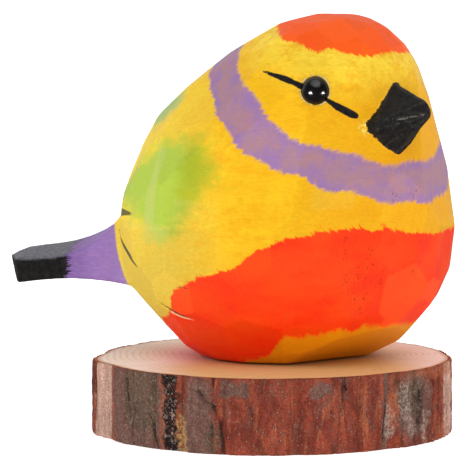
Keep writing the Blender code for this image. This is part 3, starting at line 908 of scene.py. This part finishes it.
    # Marks on the wings, then the black beak, stripes and tail tip, with scratches and a painted sheen on the
    # tail's top
    colour = colour.mix(chipped("mark_away", 0.15).rise(-0.1, 0.12, 0.86, 0.0), paint.shadow)
    beak = chipped("beak_away", 0.45).rise(0.04, 0.2, 1.0, 0.0)
    black = graph.largest(beak, chipped("stripe_away", 0.25).rise(-0.1, 0.1, 1.0, 0.0), tip)
    scratch = graph.noise(place.stretch(1.6, 1.6, 0.5), 2.2, 3.0, 0.75).rise(0.6, 0.74)
    wear = knife.rise(0.0, 0.4, 1.0, 0.0) * graph.noise(place, 1.7, 3.0, 0.7).rise(0.44, 0.6)
    gape = kept("gape_away").rise(-0.02, 0.12, 1.0, 0.0) * chips.rise(0.3, 0.5, 0.2, 0.62)
    ink = graph.mix(mottle.rise(0.35, 0.7), paint.black, paint.soft_black)
    for part in (scratch * kept("beak_away").rise(-0.5, -1.5) * 0.3, wear * beak * 0.14, gape):
        ink = ink.mix(part, paint.scuff)
    # Painted sheen: the black tail tip turns grey where it faces up, standing for the reflection of the light
    # above
    ink = ink.mix(kept("sheen_facing_up") * tip * chips.rise(0.3, 0.6, 0.45, 0.95), paint.gloss)
    colour = colour.mix(black, ink)

    # Dark red specks in rows on the belly, and along the slips of the knife a pale line and a dark line
    # painted as the shade in the cut
    dots = graph.noise(place.stretch(1.5, 1.5, 0.9), 1.9, 2.0, 0.6)
    freckle = dots.rise(0.61, 0.68) * kept("speck_row").rise(0.2, 1.5, 1.0, 0.0)
    colour = colour.mix(freckle * 0.75, paint.dark_red)
    colour = colour.mix(kept("slip_low").rise(-0.02, 0.12, 1.0, 0.0) * 0.7, paint.worn)
    # Painted shade: the dark line along each slip of the knife
    colour = colour.mix(kept("slip_shade_away").rise(-0.02, 0.1, 1.0, 0.0) * 0.8, paint.dark_red)

    dress(graph, sockets, colour, mottle.rise(0.3, 0.7, 0.42, 0.56) + black * -0.04, 0.15)
    height = lengthwise * plain * 0.45 + upright * vivid * 0.7 + graph.noise(place, 3.2, 2.0, 0.6)
    height = height - graph.largest(bare, freckle) * 0.8 + graph.noise(place, 1.3, 4.0, 0.75) * black * 2.4
    bump(graph, sockets, height, 0.07, 0.8)
    return material


def glossy_bead(settings):
    """Black glossy bead."""
    material, graph, sockets = new_material("black_bead")
    haze = graph.noise(graph.place(), 1.4)
    deep = linear(settings.colour)
    lighter = tuple(part * 1.8 for part in deep[:3]) + (1.0,)
    dress(graph, sockets, graph.mix(haze, deep, lighter), haze.rise(0.3, 0.7, 0.13, 0.18), 0.42)
    return material


def sawn_wood(settings):
    """Sawn end grain with growth rings about an off-centre pith."""
    material, graph, sockets = new_material("sawn_end_grain")
    place = graph.place()
    warp = (graph.noise(place, 0.05) - 0.5) * 6.0
    small = (graph.noise(place, 0.5) - 0.5) * 0.4
    x, y, _ = graph.split(place)
    across, deep = x - PITH[0], y - PITH[1]
    away = graph.math("SQRT", across * across + deep * deep) + (warp + small)
    phase = graph.math("FRACT", graph.math("POWER", graph.largest(away, 0.0), 0.92) * 1.1)
    late = phase.rise(0.45, 0.93) * phase.rise(0.93, 1.0, 1.0, 0.0)
    shown = graph.noise(place, 0.16, 3.0).rise(0.35, 0.7, 0.25, 1.0) * away.rise(4.0, 34.0, 0.7, 0.4)
    colour = graph.mix(away.rise(5.0, 30.0), settings.wood, settings.pale_wood)
    colour = colour.mix(away.rise(1.0, 11.0, 0.7, 0.0), settings.heart)
    # Painted light: the wood made paler towards +X, to offset the shade and reddish bounce light that fall
    # there
    colour = colour.mix(x.rise(12.0, 28.0, 0.0, 0.9), settings.pale_wood)
    # Painted bounce light: orange from the belly laid on the wood beneath it
    colour = colour.mix(graph.kept("belly_bounce").rise(0.0, 1.0, 0.0, 0.75), settings.warm)
    colour = colour.mix(late * shown, settings.ring)
    turn = graph.math("ARCTAN2", deep, across)
    rays = graph.noise(graph.join(turn * 60.0, away * 0.06, 0.0), 1.0, 2.0, 0.6)
    saw = graph.noise(place.stretch(0.14, 2.4, 1.0), 1.0, 3.0, 0.6)
    colour = colour.shade(rays.rise(0.35, 0.7, 1.02, 0.95)).shade(saw.rise(0.35, 0.7, 1.02, 0.96))
    colour = colour.mix((graph.kept("rim_away") + small).rise(0.0, 1.3, 0.75, 0.0), settings.ring)
    dress(graph, sockets, colour, saw.rise(0.3, 0.7, 0.62, 0.8), 0.5)
    bump(graph, sockets, saw * 0.8 + late * -0.3, 0.06, 0.7)
    return material


def rough_bark(settings):
    """Flaking bark in zones of red, grey, olive and tan, with pale specks."""
    material, graph, sockets = new_material("log_bark_skin")
    place, kept = graph.place(), graph.kept
    upright = graph.noise(place.stretch(1.0, 1.0, 0.2), 0.8, 4.0, 0.65)
    fine = graph.noise(place.stretch(1.0, 1.0, 0.8), 2.8, 3.0, 0.75)
    grit = graph.noise(place, 3.2, 3.0, 0.8)
    blotch = graph.noise(place.stretch(1.0, 1.0, 0.45), 0.3, 3.0, 0.6)
    weathered = graph.noise(place.stretch(1.0, 1.0, 0.5), 0.5, 5.0, 0.78)
    fresh = graph.noise(place.stretch(1.2, 1.2, 0.3), 0.6, 5.0, 0.75, 0.3)
    fuzz = (graph.noise(place, 1.5, 4.0, 0.75) - 0.5) * 1.3
    colour = graph.mix(blotch.rise(0.35, 0.65), settings.bark, settings.deep_bark)
    colour = colour.mix(weathered.rise(0.5, 0.64, 0.0, 0.55), settings.grey)
    colour = colour.mix(fresh.rise(0.52, 0.66, 0.0, 0.55), settings.orange)

    # Zones, some of them broken up, then light and dark noise, painted shade in the relief's sunk cracks, and
    # orange on its ridges
    for kind, strength in ZONE_STRENGTHS.items():
        mask = (kept(kind) + fuzz).rise(0.12, 0.88, 0.0, strength)
        if kind in ("lichen", "tan"):
            mask = mask * graph.noise(place, 1.9, 3.0, 0.7).rise(0.43, 0.55)
        if kind == "dark":
            mask = mask * graph.noise(place, 1.3, 3.0, 0.7).rise(0.36, 0.5, 0.35, 1.0)
        colour = colour.mix(mask, getattr(settings, kind))
    colour = colour.shade(upright.rise(0.25, 0.75, 0.74, 1.12)).shade(fine.rise(0.3, 0.7, 0.76, 1.14))
    colour = colour.shade(grit.rise(0.32, 0.7, 0.66, 1.42))
    colour = colour.mix(kept("relief").rise(-0.25, -0.75, 0.0, 0.8), CRACK_SHADE)
    colour = colour.mix(kept("relief").rise(0.25, 0.55, 0.0, 0.3), settings.orange)

    # Pale specks and crumbs, more of them where the bark is weathered, and the cut edge
    busy = graph.largest(kept("dark"), kept("olive"), kept("grey"))
    squat = place.stretch(1.0, 1.0, 0.7)
    some = graph.group("specks", "Mask", Place=squat, Size=0.42, Amount=0.2, Radius=0.32)
    crumbs = graph.noise(place.stretch(1.0, 1.0, 0.8), 1.7, 3.0, 0.8, 0.5).rise(0.55, 0.61)
    specks = some * 0.5 + crumbs * (busy.rise(0.3, 0.9, 0.04, 0.3) + kept("dark").rise(0.3, 0.9, 0.0, 0.4))
    colour = colour.mix(graph.math("MINIMUM", specks, 0.8), settings.lichen)
    inner = graph.mix(upright.rise(0.35, 0.65), settings.inner_bark, settings.orange)
    colour = colour.mix((kept("cut") + fuzz * 0.25).rise(0.3, 0.7), inner)
    dress(graph, sockets, colour, fine.rise(0.3, 0.7, 0.72, 0.95), 0.25)
    bump(graph, sockets, upright * 1.1 + fine * 0.8 + specks * 0.6, 0.22, 0.9)
    return material


# Pieces


class ORNAMENT_OT_painted_bird(bpy.types.Operator):
    """Carve the finer surface of the bird and paint it"""

    bl_idname = "ornament.painted_bird"
    bl_label = "Painted bird"
    bl_options = {"REGISTER", "UNDO"}

    def execute(self, context):
        paint = context.scene.bird_settings
        source = FRAME["nodes"]["bird"]
        packed, _ = mesh_arrays(source.data)
        mesh = even_copy(source, paint.step)
        points, edges = mesh_arrays(mesh)
        eyes = [socket_way(name, packed) for name in ("eye_right", "eye_left")]

        run, outline = beak_places(points)
        beak_part = smooth(run, -1.5, -0.2) * smooth(outline, 1.2, 0.2)
        tail_part = 1.0 - smooth(points[:, 0], -30.0, -27.0)
        crisp = np.maximum(beak_part, tail_part)
        points = soften(points, edges, 0.5 * (1.0 - crisp), paint.soft_rounds)
        points = soften(points, edges, 0.35 * crisp, paint.crisp_rounds)
        for centre, way in eyes:
            points = self.close_socket(points, centre, way)
        put_points(mesh, points)
        self.carve_detail(mesh, points)
        points, _ = mesh_arrays(mesh)
        self.lay_out_paint(mesh, points, [centre for centre, _ in eyes])
        self.find_cuts(mesh, points, source.data)
        brushed_edge_group()
        streak_group()
        new_piece("painted_bird", mesh, painted_wood(paint), "painted_wood", "bird")
        return {"FINISHED"}

    @staticmethod
    def close_socket(points, centre, way):
        """Draw the rim of a socket in to the bead."""
        out = points - centre
        height = out @ way
        flat = out - height[:, None] * way
        radius = np.linalg.norm(flat, axis=1)
        near = (np.abs(height) < 5.0) & (radius < 6.0) & (radius > 0.2)
        bead = np.sqrt(np.maximum(EYE_RADIUS ** 2 - height ** 2, 0.0))
        bead = np.where(height < 0, EYE_RADIUS, bead)
        pull = (SOCKET_RADIUS - bead + 0.4) * (1.0 - smooth(radius, SOCKET_RADIUS + 0.1, SOCKET_RADIUS + 1.5))
        moved = np.where(near, np.maximum(radius - pull, 0.3), radius)
        return centre + height[:, None] * way + flat * (moved / np.maximum(radius, 1e-6))[:, None]

    @staticmethod
    def carve_detail(mesh, points):
        """Low carving: faint knife ripples, grit on the beak, and the slip of the knife."""
        normals = point_normals(mesh)
        ripple = np.array([noise.noise(Vector((x / 6.0, y / 6.0, z / 9.0))) for x, y, z in points])
        grit = np.array([noise.noise(Vector((x / 1.1, y / 1.1, z / 1.1))) for x, y, z in points])
        run, outline = beak_places(points)
        beak_part = smooth(run, -0.5, 0.5) * smooth(outline, 0.6, -0.2)
        shift = 0.05 * ripple + 0.09 * grit * beak_part
        shift -= 0.18 * (1.0 - smooth(stroke_distance(points, KNIFE_SLIP), -0.1, 0.35))
        put_points(mesh, points + normals * shift[:, None])

    @staticmethod
    def find_cuts(mesh, points, packed):
        """Keep how far each point is from the edge of a knife cut, and a tone for each cut."""
        form = bmesh.new()
        form.from_mesh(packed)
        bmesh.ops.remove_doubles(form, verts=form.verts, dist=SAME_PLACE * MM)
        form.normal_update()
        marks = []
        for edge in form.edges:
            if len(edge.link_faces) == 2 and edge.calc_face_angle() > CUT_EDGE_ANGLE:
                first, last = (vertex.co for vertex in edge.verts)
                steps = max(2, math.ceil((last - first).length / (CUT_EDGE_STEP * MM)))
                marks += [first.lerp(last, step / steps) for step in range(steps + 1)]
        tree = KDTree(len(marks))
        for index, spot in enumerate(marks):
            tree.insert(spot, index)
        tree.balance()
        faces = BVHTree.FromBMesh(form)
        places = [Vector(point) for point in points * MM]
        store(mesh, "knife_edge", [tree.find(place)[2] / MM for place in places])
        store(mesh, "cut_tone", [noise.noise(faces.find_nearest(place)[1] * 9.0) for place in places])
        form.free()

    @staticmethod
    def lay_out_paint(mesh, points, eye_centres):
        """Keep at every point how far it is from each painted edge."""
        out = points - np.array(BODY_CENTRE)
        height = points[:, 2]
        turn = np.arctan2(out[:, 1], out[:, 0])
        steep = np.clip(np.hypot(out[:, 0], out[:, 1]) / np.linalg.norm(out, axis=1), 0.35, 1.0)
        for name, table in (("belly_top", BELLY_TOP), ("belly_low", BELLY_LOW)):
            store(mesh, name, (height - table_at(turn, table)) / steep)
        store(mesh, "belly_run", turn * BODY_REACH)

        collar = (("collar_face", COLLAR_FACE_SIDE), ("collar_body", COLLAR_BODY_SIDE))
        crown = (("crown_away", CROWN_EDGE),)
        for run, reach, tilt, edges in (
            ("collar_run", COLLAR_REACH, COLLAR_TILT, collar), ("crown_run", CROWN_REACH, CROWN_TILT, crown),
        ):
            angle, away, radius = about_axis(points, tilt)
            store(mesh, run, angle * reach)
            for name, table in edges:
                store(mesh, name, (away - np.radians(table_at(angle, table))) * radius)

        side = np.abs(np.degrees(turn))
        per_degree = math.radians(1.0) * BODY_REACH

        def patch_away(patch):
            """Distance from a patch given by turns and heights, the same on both sides."""
            corners = [(degrees * per_degree, level) for degrees, level in patch]
            return polygon_distance(side * per_degree, height, corners)

        store(mesh, "wing_turn", side)
        store(mesh, "backness", -out[:, 0])
        # How much each point faces up, for the painted sheen on the tail's top
        store(mesh, "sheen_facing_up", smooth(point_normals(mesh)[:, 2], 0.3, 0.75))
        store(mesh, "wing_away", patch_away(WING_PATCH))
        store(mesh, "shoulder_away", patch_away(SHOULDER_PATCH))
        pale = [amount * (1.0 - smooth(patch_away(patch), -0.25, 0.25)) for amount, patch in PALE_SHEEN_CUTS]
        store(mesh, "pale_sheen_cut", np.max(pale, axis=0))
        rows = np.full(len(points), 9.0)
        for degrees, low, high in SPECK_ROWS:
            across = np.abs(np.degrees(turn) - degrees) * per_degree
            beyond = np.maximum(np.maximum(low - height, height - high), 0.0)
            rows = np.minimum(rows, np.hypot(across, beyond))
        store(mesh, "speck_row", rows)

        local = out @ np.array(Matrix.Rotation(-BODY_PITCH, 3, "Y"))
        form = np.linalg.norm(local / np.array(BODY_HALF), axis=1)
        off = (form - 1.0) * 30.0 - TAIL_OFF_BODY
        store(mesh, "off_body", np.where(points[:, 0] < -18.0, off, -5.0))
        store(mesh, "tail_run", points[:, 0] - TAIL_BLACK_START)
        store(mesh, "tail_across", points[:, 1] + height)

        places = [Vector(point) for point in points * MM]
        tree = BVHTree.FromPolygons(places, [tuple(face.vertices) for face in mesh.polygons])

        def strokes_away(*strokes):
            """Distance from the nearest of some strokes that lie on the surface."""
            return np.min([stroke_distance(points, laid_on(stroke, tree)) for stroke in strokes], axis=0)

        far_side = (HEAD_CENTRE, HEAD_TURN, FAR_EYE_EXTRA)
        far_stripes = [mirrored_stroke(stroke, *far_side) for stroke in EYE_STRIPES]
        store(mesh, "stripe_away", strokes_away(*EYE_STRIPES, *far_stripes))
        far_marks = [mirrored_stroke(stroke, BODY_CENTRE, 0.0, 0.0) for stroke in WING_MARKS]
        store(mesh, "mark_away", np.where(off > 0.2, 5.0, strokes_away(*WING_MARKS, *far_marks)))
        store(mesh, "slip_shade_away", strokes_away(KNIFE_SLIP, SHORT_SLIP))
        low_slip = [(x + 0.1, y, z - 0.32, half) for x, y, z, half in KNIFE_SLIP[1:]]
        store(mesh, "slip_low", strokes_away(low_slip))
        far_gape = mirrored_stroke(GAPE_LINE, BEAK_BASE, HEAD_TURN, 0.0)
        store(mesh, "gape_away", strokes_away(GAPE_LINE, far_gape))

        run, outline = beak_places(points)
        store(mesh, "beak_away", np.where(run > -2.5, outline, 9.0))
        store(mesh, "corner_away", np.linalg.norm(points - np.array(BEAK_CHIPS), axis=1))
        eyes = [np.linalg.norm(points - centre, axis=1) - EYE_RADIUS for centre in eye_centres]
        store(mesh, "eye_away", np.min(eyes, axis=0))


class ORNAMENT_OT_bead_eyes(bpy.types.Operator):
    """Turn the two glossy beads of the eyes"""

    bl_idname = "ornament.bead_eyes"
    bl_label = "Bead eyes"
    bl_options = {"REGISTER", "UNDO"}

    def execute(self, context):
        settings = context.scene.eye_settings
        material = glossy_bead(settings)
        packed, _ = mesh_arrays(FRAME["nodes"]["bird"].data)
        for side in ("right", "left"):
            centre, way = socket_way(f"eye_{side}", packed)
            mesh = self.bead(centre, way, settings.radius / MM)
            new_piece(f"bead_eye_{side}", mesh, material, "eye_bead", f"eye_{side}")
        return {"FINISHED"}

    @staticmethod
    def bead(centre, way, radius):
        """A turned bead with a small drilled hole at its back."""
        turn = Vector(way).to_track_quat("Z", "X").to_matrix()
        sweep = math.pi - BEAD_FRONT_ANGLE - BEAD_HOLE / radius
        points = []
        for row in range(BEAD_ROWS):
            angle = BEAD_FRONT_ANGLE + sweep * row / (BEAD_ROWS - 1)
            ring = radius * math.sin(angle)
            for spot in range(BEAD_AROUND):
                at = math.tau * spot / BEAD_AROUND
                local = Vector((ring * math.cos(at), ring * math.sin(at), radius * math.cos(angle)))
                points.append(np.array(turn @ local) + centre)
        return mesh_from_rings(np.reshape(points[::-1], (BEAD_ROWS, BEAD_AROUND, 3)), False)


class ORNAMENT_OT_log_slice(bpy.types.Operator):
    """Make the sawn disc of the slice and its ring of bark"""

    bl_idname = "ornament.log_slice"
    bl_label = "Log slice"
    bl_options = {"REGISTER", "UNDO"}

    def execute(self, context):
        settings = context.scene.slice_settings
        speck_group()
        self.read_packed_slice()
        turns = np.arange(BARK_ROUND) * math.tau / BARK_ROUND - math.pi
        inner = self.inner_radius(turns, settings)
        disc, ring = self.disc(turns, inner), self.bark(turns, inner, settings)
        new_piece("sawn_slice", disc, sawn_wood(settings), "log_slice", "log_slice")
        new_piece("bark_ring", ring, rough_bark(settings), "log_slice", "log_slice")
        return {"FINISHED"}

    def read_packed_slice(self):
        """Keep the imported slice's outline: turn and radius at its middle, and its box."""
        points, _ = mesh_arrays(FRAME["nodes"]["log_slice"].data)
        self.low, self.high = (np.array(corner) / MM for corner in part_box("log_slice"))
        radius = np.hypot(points[:, 0], points[:, 1])
        turn = np.round(np.arctan2(points[:, 1], points[:, 0]), 4)
        best = {}
        for angle, reach in zip(turn, radius):
            best[angle] = max(best.get(angle, 0.0), reach)
        angles = np.array(sorted(best))
        reaches = np.array([best[angle] for angle in sorted(best)])
        keep = reaches > 25.0
        self.angles, self.reaches = angles[keep], reaches[keep]

    def outline(self, turns):
        """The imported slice's radius at a turn."""
        return np.interp(turns, self.angles, self.reaches, period=math.tau)

    def inner_radius(self, turns, settings):
        """Where the wood ends and the bark starts."""
        base = self.outline(turns)
        around = np.stack([np.roll(base, shift) for shift in range(-18, 19)]).mean(axis=0)
        wave = noise_round(turns, 3.0, 7.0)
        fine = noise_round(turns, 14.0, 3.0)
        return around - settings.bark_thickness / MM + 0.25 * wave + 0.12 * fine

    def disc(self, turns, inner):
        """The sawn wood: a flat disc, closed all round, with faint saw marks on its top."""
        shares = np.linspace(DISC_LEAST_SHARE, 1.0, DISC_RINGS)
        step, edge = turns[::DISC_SKIP], inner[::DISC_SKIP]
        rings, rim = [], []
        for is_top, order in ((False, shares), (True, shares[::-1])):
            level = np.full(len(step), self.high[2] if is_top else self.low[2])
            for part in order:
                ring = np.stack([edge * part * np.cos(step), edge * part * np.sin(step), level], axis=1)
                if is_top:
                    marks = [noise.noise(Vector((x / 9.0, y / 0.8, 1.0))) for x, y, _ in ring]
                    ring[:, 2] -= 0.02 + 0.02 * np.array(marks)
                rings.append(ring)
                rim.append(edge * (1.0 - part))
        points = np.concatenate(rings)
        under = np.hypot(points[:, 0] - BELLY_FOOT[0], points[:, 1] - BELLY_FOOT[1])
        mesh = mesh_from_rings(rings, False)
        store(mesh, "rim_away", np.concatenate(rim))
        store(mesh, "belly_bounce", 1.0 - smooth(under, *BELLY_BOUNCE_REACH))
        return mesh

    def bark(self, turns, inner, settings):
        """The bark: a closed ring with plates, cracks, ridges and flakes on its outside."""
        top, bottom = self.high[2], self.low[2]
        outer = self.outline(turns)
        rings, kept = [], []

        def add(radius, height, relief=0.0, cut=1.0):
            """Add a ring, and what its points keep: turn, height, relief, and whether they are cut bark."""
            height, relief, cut = (np.broadcast_to(value, turns.shape) for value in (height, relief, cut))
            rings.append(np.stack([radius * np.cos(turns), radius * np.sin(turns), height], axis=1))
            kept.append((turns, height, relief, cut))

        # Up the outside, across the top and down the inside, and back along the underside
        for part in np.linspace(0.0, 1.0, BARK_ROWS):
            level = bottom + (top - bottom) * part
            relief, rough = self.relief(turns, outer, np.full(len(turns), level - bottom), settings)
            ends = min(part, 1.0 - part) * (top - bottom)
            inset = 0.28 * (1.0 - smooth(ends, 0.0, 0.5))
            crumble = np.abs(rough) * {0.0: 0.5, 1.0: -0.5}.get(part, 0.0)
            radius = np.maximum(outer - 0.35 + relief - inset, inner + BARK_LEAST)
            add(self.inside_box(turns, radius), level + crumble, relief, 0.0)
        first, last = (np.hypot(ring[:, 0], ring[:, 1]) for ring in (rings[0], rings[-1]))
        for part in (0.12, 0.3, 0.55, 0.8, 1.0):
            ripple = 0.1 * noise_round(turns, 40.0, part * 2.0)
            sunk = 0.10 * math.sin(math.pi * part)
            add(last + (inner - last) * part, top - sunk - np.abs(ripple) * (part < 1.0))
        for part in (1.0, 0.66, 0.33):
            add(first + (inner - first) * part, bottom)
        mesh = mesh_from_rings(rings, True)
        angles, heights, reliefs, cuts = (np.concatenate(values) for values in zip(*kept))
        store(mesh, "relief", reliefs)
        store(mesh, "cut", cuts)

        # The zones' edges wander with soft noise
        drift = []
        for angle, height in zip(angles, heights):
            spot = Vector((math.cos(angle) * 9.0, math.sin(angle) * 9.0, height * 0.28))
            lifted = spot + Vector((0.0, 0.0, 40.0))
            drift.append((
                1.4 * noise.noise(spot) + 1.0 * noise.noise(spot * 3.1),
                1.6 * noise.noise(lifted) + 0.8 * noise.noise(spot * 3.7),
            ))
        drift_turn, drift_height = np.array(drift).T
        for kind in BARK_ZONES:
            store(mesh, kind, self.zone(kind, np.degrees(angles) + drift_turn, heights + drift_height))
        return mesh

    @staticmethod
    def zone(kind, turns, heights):
        """How fully each place of the bark lies in a zone of a kind."""
        best = np.zeros(len(turns))
        for aside, above in zone_offsets(kind, turns, heights):
            away = (aside ** 3 + above ** 3) ** (1 / 3)
            best = np.maximum(best, 1.0 - smooth(away, 0.55, 1.45))
        return best

    def inside_box(self, turns, radius):
        """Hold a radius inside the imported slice's box."""
        limit = np.full(len(turns), 1e3)
        for axis, way in enumerate((np.cos(turns), np.sin(turns))):
            edge = np.where(way > 0, self.high[axis], -self.low[axis]) - BARK_BOX_MARGIN
            limit = np.minimum(limit, edge / np.maximum(np.abs(way), 1e-6))
        return np.minimum(radius, limit)

    @staticmethod
    def relief(turns, outer, heights, settings):
        """How far the bark stands out or in at turns and heights, and its fine roughness."""
        plates = settings.plate_depth / MM
        rough_depth = settings.roughness_depth / MM
        relief = np.zeros(len(turns))
        rough = np.zeros(len(turns))
        for index, (turn, radius, height) in enumerate(zip(turns, outer, heights)):
            x, y = radius * math.cos(turn), radius * math.sin(turn)
            cell, _ = noise.voronoi(Vector((x / 5.5, y / 5.5, height / 34.0)))
            joint = min(1.0, (cell[1] - cell[0]) / 0.16)
            upright = noise.fractal(Vector((x / 2.0, y / 2.0, height / 9.0)), 1.0, 2.0, 3)
            fine = noise.noise(Vector((x / 0.55, y / 0.55, height / 1.0)))
            grain = noise.noise(Vector((x / 1.2, y / 1.2, height / 3.0 + 9.0)))
            relief[index] = plates * (joint - 1.0) + 0.16 * upright
            rough[index] = rough_depth * (0.55 * fine + 0.45 * grain)
        degrees = np.degrees(turns)
        per_degree = math.radians(1.0) * outer
        for depth, half, path in BARK_LINES:
            best = np.full(len(turns), 1e3)
            for (turn_a, low), (turn_b, high) in zip(path, path[1:]):
                x, y = degrees_between(degrees, turn_a) * per_degree, heights - low
                run_x, run_y = (turn_b - turn_a) * per_degree, high - low
                part = np.clip((x * run_x + y * run_y) / (run_x ** 2 + run_y ** 2), 0.0, 1.0)
                best = np.minimum(best, np.hypot(x - part * run_x, y - part * run_y))
            relief += depth * (1.0 - smooth(best, 0.0, half * 1.8))
        busy = np.zeros(len(turns))
        for kind in ROUGH_KINDS:
            for aside, above in zone_offsets(kind, degrees, heights):
                busy = np.maximum(busy, 1.0 - smooth(np.maximum(aside, above), 0.7, 1.3))
        return relief + rough * (0.55 + 0.8 * busy), rough


class ORNAMENT_OT_photo_stage(bpy.types.Operator):
    """Set the floor, the soft light and the camera"""

    bl_idname = "ornament.photo_stage"
    bl_label = "Stage"
    bl_options = {"REGISTER", "UNDO"}

    def execute(self, context):
        settings = context.scene.stage_settings
        scene = context.scene
        scene.view_settings.view_transform = "Standard"
        right, back, up = self.camera_axes()
        self.floor(settings)
        self.world(scene, settings, back)
        target = Vector((8.0, -4.0, 42.0)) * MM
        self.light("top_box", target, right * 0.1 + back * 0.75 + up * 0.85, 1.6, 1.2, settings.key)
        self.glint("window_left", right * -0.66 + back * 0.70 + up * -0.31, 0.1, 1.6)
        self.glint("window_right", right * 0.80 + back * 0.54 + up * -0.29, 0.1, 1.0)
        self.glint("soft_window", right * -0.04 + back * 0.45 + up * 0.9, 0.3, 0.3)
        self.camera(scene, right, back, up)
        return {"FINISHED"}

    @staticmethod
    def camera_axes():
        """The camera's right, backward and upward directions."""
        right = Vector((math.cos(CAMERA_TURN), math.sin(CAMERA_TURN), 0.0))
        level = math.cos(CAMERA_TILT)
        back = Vector((math.sin(CAMERA_TURN) * level, -math.cos(CAMERA_TURN) * level, math.sin(CAMERA_TILT)))
        return right, back, back.cross(right)

    @staticmethod
    def floor(settings):
        """A plain pale floor."""
        half = settings.floor_size / 2
        mesh = bpy.data.meshes.new("floor")
        corners = [(-half, -half, 0), (half, -half, 0), (half, half, 0), (-half, half, 0)]
        mesh.from_pydata(corners, [], [(0, 1, 2, 3)])
        material, graph, sockets = new_material("pale_floor")
        tone = graph.noise(graph.place(), 0.004, 1.0)
        white = linear(settings.floor)
        mirrored = graph.value("ShaderNodeLightPath", "Is Glossy Ray")
        seen = graph.mix(tone, white, tuple(part * 0.99 for part in white[:3]) + (1.0,))
        dress(graph, sockets, seen.mix(mirrored, (0.16, 0.16, 0.16, 1.0)), 0.9, 0.0)
        graph.feed(sockets["Emission Color"], graph.mix(mirrored, (1.0, 1.0, 1.0, 1.0), (0.0, 0.0, 0.0, 1.0)))
        graph.feed(sockets["Emission Strength"], 0.55)
        mesh.materials.append(material)
        floor = bpy.data.objects.new("floor", mesh)
        bpy.context.scene.collection.objects.link(floor)

    @staticmethod
    def world(scene, settings, back):
        """White light all round. Glossy things mirror a bright far side and a dim near side."""
        world = bpy.data.worlds.new("white_room")
        world.use_nodes = True
        graph = Graph(world.node_tree)
        way = graph.value("ShaderNodeTexCoord", "Generated")
        sides = {0: way, 1: tuple(back)}
        facing = graph.value("ShaderNodeVectorMath", "Value", sides, operation="DOT_PRODUCT")
        _, _, height = graph.split(way)
        seen = graph.largest(facing.rise(0.25, -0.45, 0.07, 1.0), height.rise(0.45, 0.95, 0.0, 0.45))
        mirrored = graph.value("ShaderNodeLightPath", "Is Glossy Ray")
        sockets = world.node_tree.nodes["Background"].inputs
        graph.feed(sockets["Color"], (1.0, 1.0, 1.0, 1.0))
        graph.feed(sockets["Strength"], (1.0 - mirrored * (1.0 - seen)) * settings.world)
        scene.world = world

    @staticmethod
    def light(name, target, way, distance, size, power):
        """A square soft box that faces a target."""
        data = bpy.data.lights.new(name, "AREA")
        data.shape = "SQUARE"
        data.size = size
        data.energy = power
        lamp = bpy.data.objects.new(name, data)
        bpy.context.scene.collection.objects.link(lamp)
        lamp.location = target + way.normalized() * distance
        lamp.rotation_mode = "QUATERNION"
        lamp.rotation_quaternion = way.to_track_quat("Z", "Y")
        return lamp

    def glint(self, name, way, size, power):
        """A small round window of light that shows only as a glint in the beads."""
        eye = Vector(node_centre("eye_right")) * MM
        lamp = self.light(name, eye, way, 0.25, size, power)
        lamp.data.shape = "DISK"
        lamp.visible_diffuse = False
        lamp.visible_camera = False
        beads = bpy.data.collections.get("beads") or bpy.data.collections.new("beads")
        for piece in bpy.data.objects:
            if piece.name.startswith("bead_eye") and piece.name not in beads.objects:
                beads.objects.link(piece)
        lamp.light_linking.receiver_collection = beads

    @staticmethod
    def camera(scene, right, back, up):
        """A long lens at the photograph's angle."""
        aside = (PHOTO_WIDTH / 2 - SLICE_TOP_PIXEL[0]) / PIXELS_PER_MM
        rise = (SLICE_TOP_PIXEL[1] - PHOTO_HEIGHT / 2) / PIXELS_PER_MM
        middle = Vector((0.0, 0.0, SLICE_TOP)) + right * aside + up * rise
        data = bpy.data.cameras.new("photo_camera")
        data.sensor_fit = "HORIZONTAL"
        data.sensor_width = SENSOR_WIDTH
        data.lens = PIXELS_PER_MM * CAMERA_DISTANCE / PHOTO_WIDTH * SENSOR_WIDTH
        data.clip_start = 0.01
        data.clip_end = 20.0
        camera = bpy.data.objects.new("photo_camera", data)
        scene.collection.objects.link(camera)
        place = Matrix((right, up, back)).transposed().to_4x4()
        place.translation = (middle + back * CAMERA_DISTANCE) * MM
        camera.matrix_world = place
        scene.camera = camera


class ORNAMENT_PT_bird(bpy.types.Panel):
    """The bird's sizes and paints, and the pieces to make from them"""

    bl_label = "Wooden bird"
    bl_idname = "ORNAMENT_PT_bird"
    bl_space_type = "VIEW_3D"
    bl_region_type = "UI"
    bl_category = "Bird"

    def draw(self, context):
        for name, _, operator in SETTINGS:
            box = self.layout.box()
            settings = getattr(context.scene, name)
            for key in settings.bl_rna.properties.keys():
                if key not in ("rna_type", "name"):
                    box.prop(settings, key)
            box.operator(operator)


SETTINGS = (
    ("bird_settings", BirdSettings, "ornament.painted_bird"),
    ("eye_settings", EyeSettings, "ornament.bead_eyes"),
    ("slice_settings", SliceSettings, "ornament.log_slice"),
    ("stage_settings", StageSettings, "ornament.photo_stage"),
)

CLASSES = (
    BirdSettings,
    EyeSettings,
    SliceSettings,
    StageSettings,
    ORNAMENT_OT_painted_bird,
    ORNAMENT_OT_bead_eyes,
    ORNAMENT_OT_log_slice,
    ORNAMENT_OT_photo_stage,
    ORNAMENT_PT_bird,
)


def register():
    """Add the settings, the operators and the panel."""
    for item in CLASSES:
        bpy.utils.register_class(item)
    for name, group, _ in SETTINGS:
        setattr(bpy.types.Scene, name, PointerProperty(type=group))


def unregister():
    """Take away what register added."""
    for name, _, _ in SETTINGS:
        delattr(bpy.types.Scene, name)
    for item in reversed(CLASSES):
        bpy.utils.unregister_class(item)


def main():
    """Make every piece and the stage."""
    register()
    bpy.ops.ornament.painted_bird()
    bpy.ops.ornament.bead_eyes()
    bpy.ops.ornament.log_slice()
    bpy.ops.ornament.photo_stage()


if __name__ == "__main__":
    main()
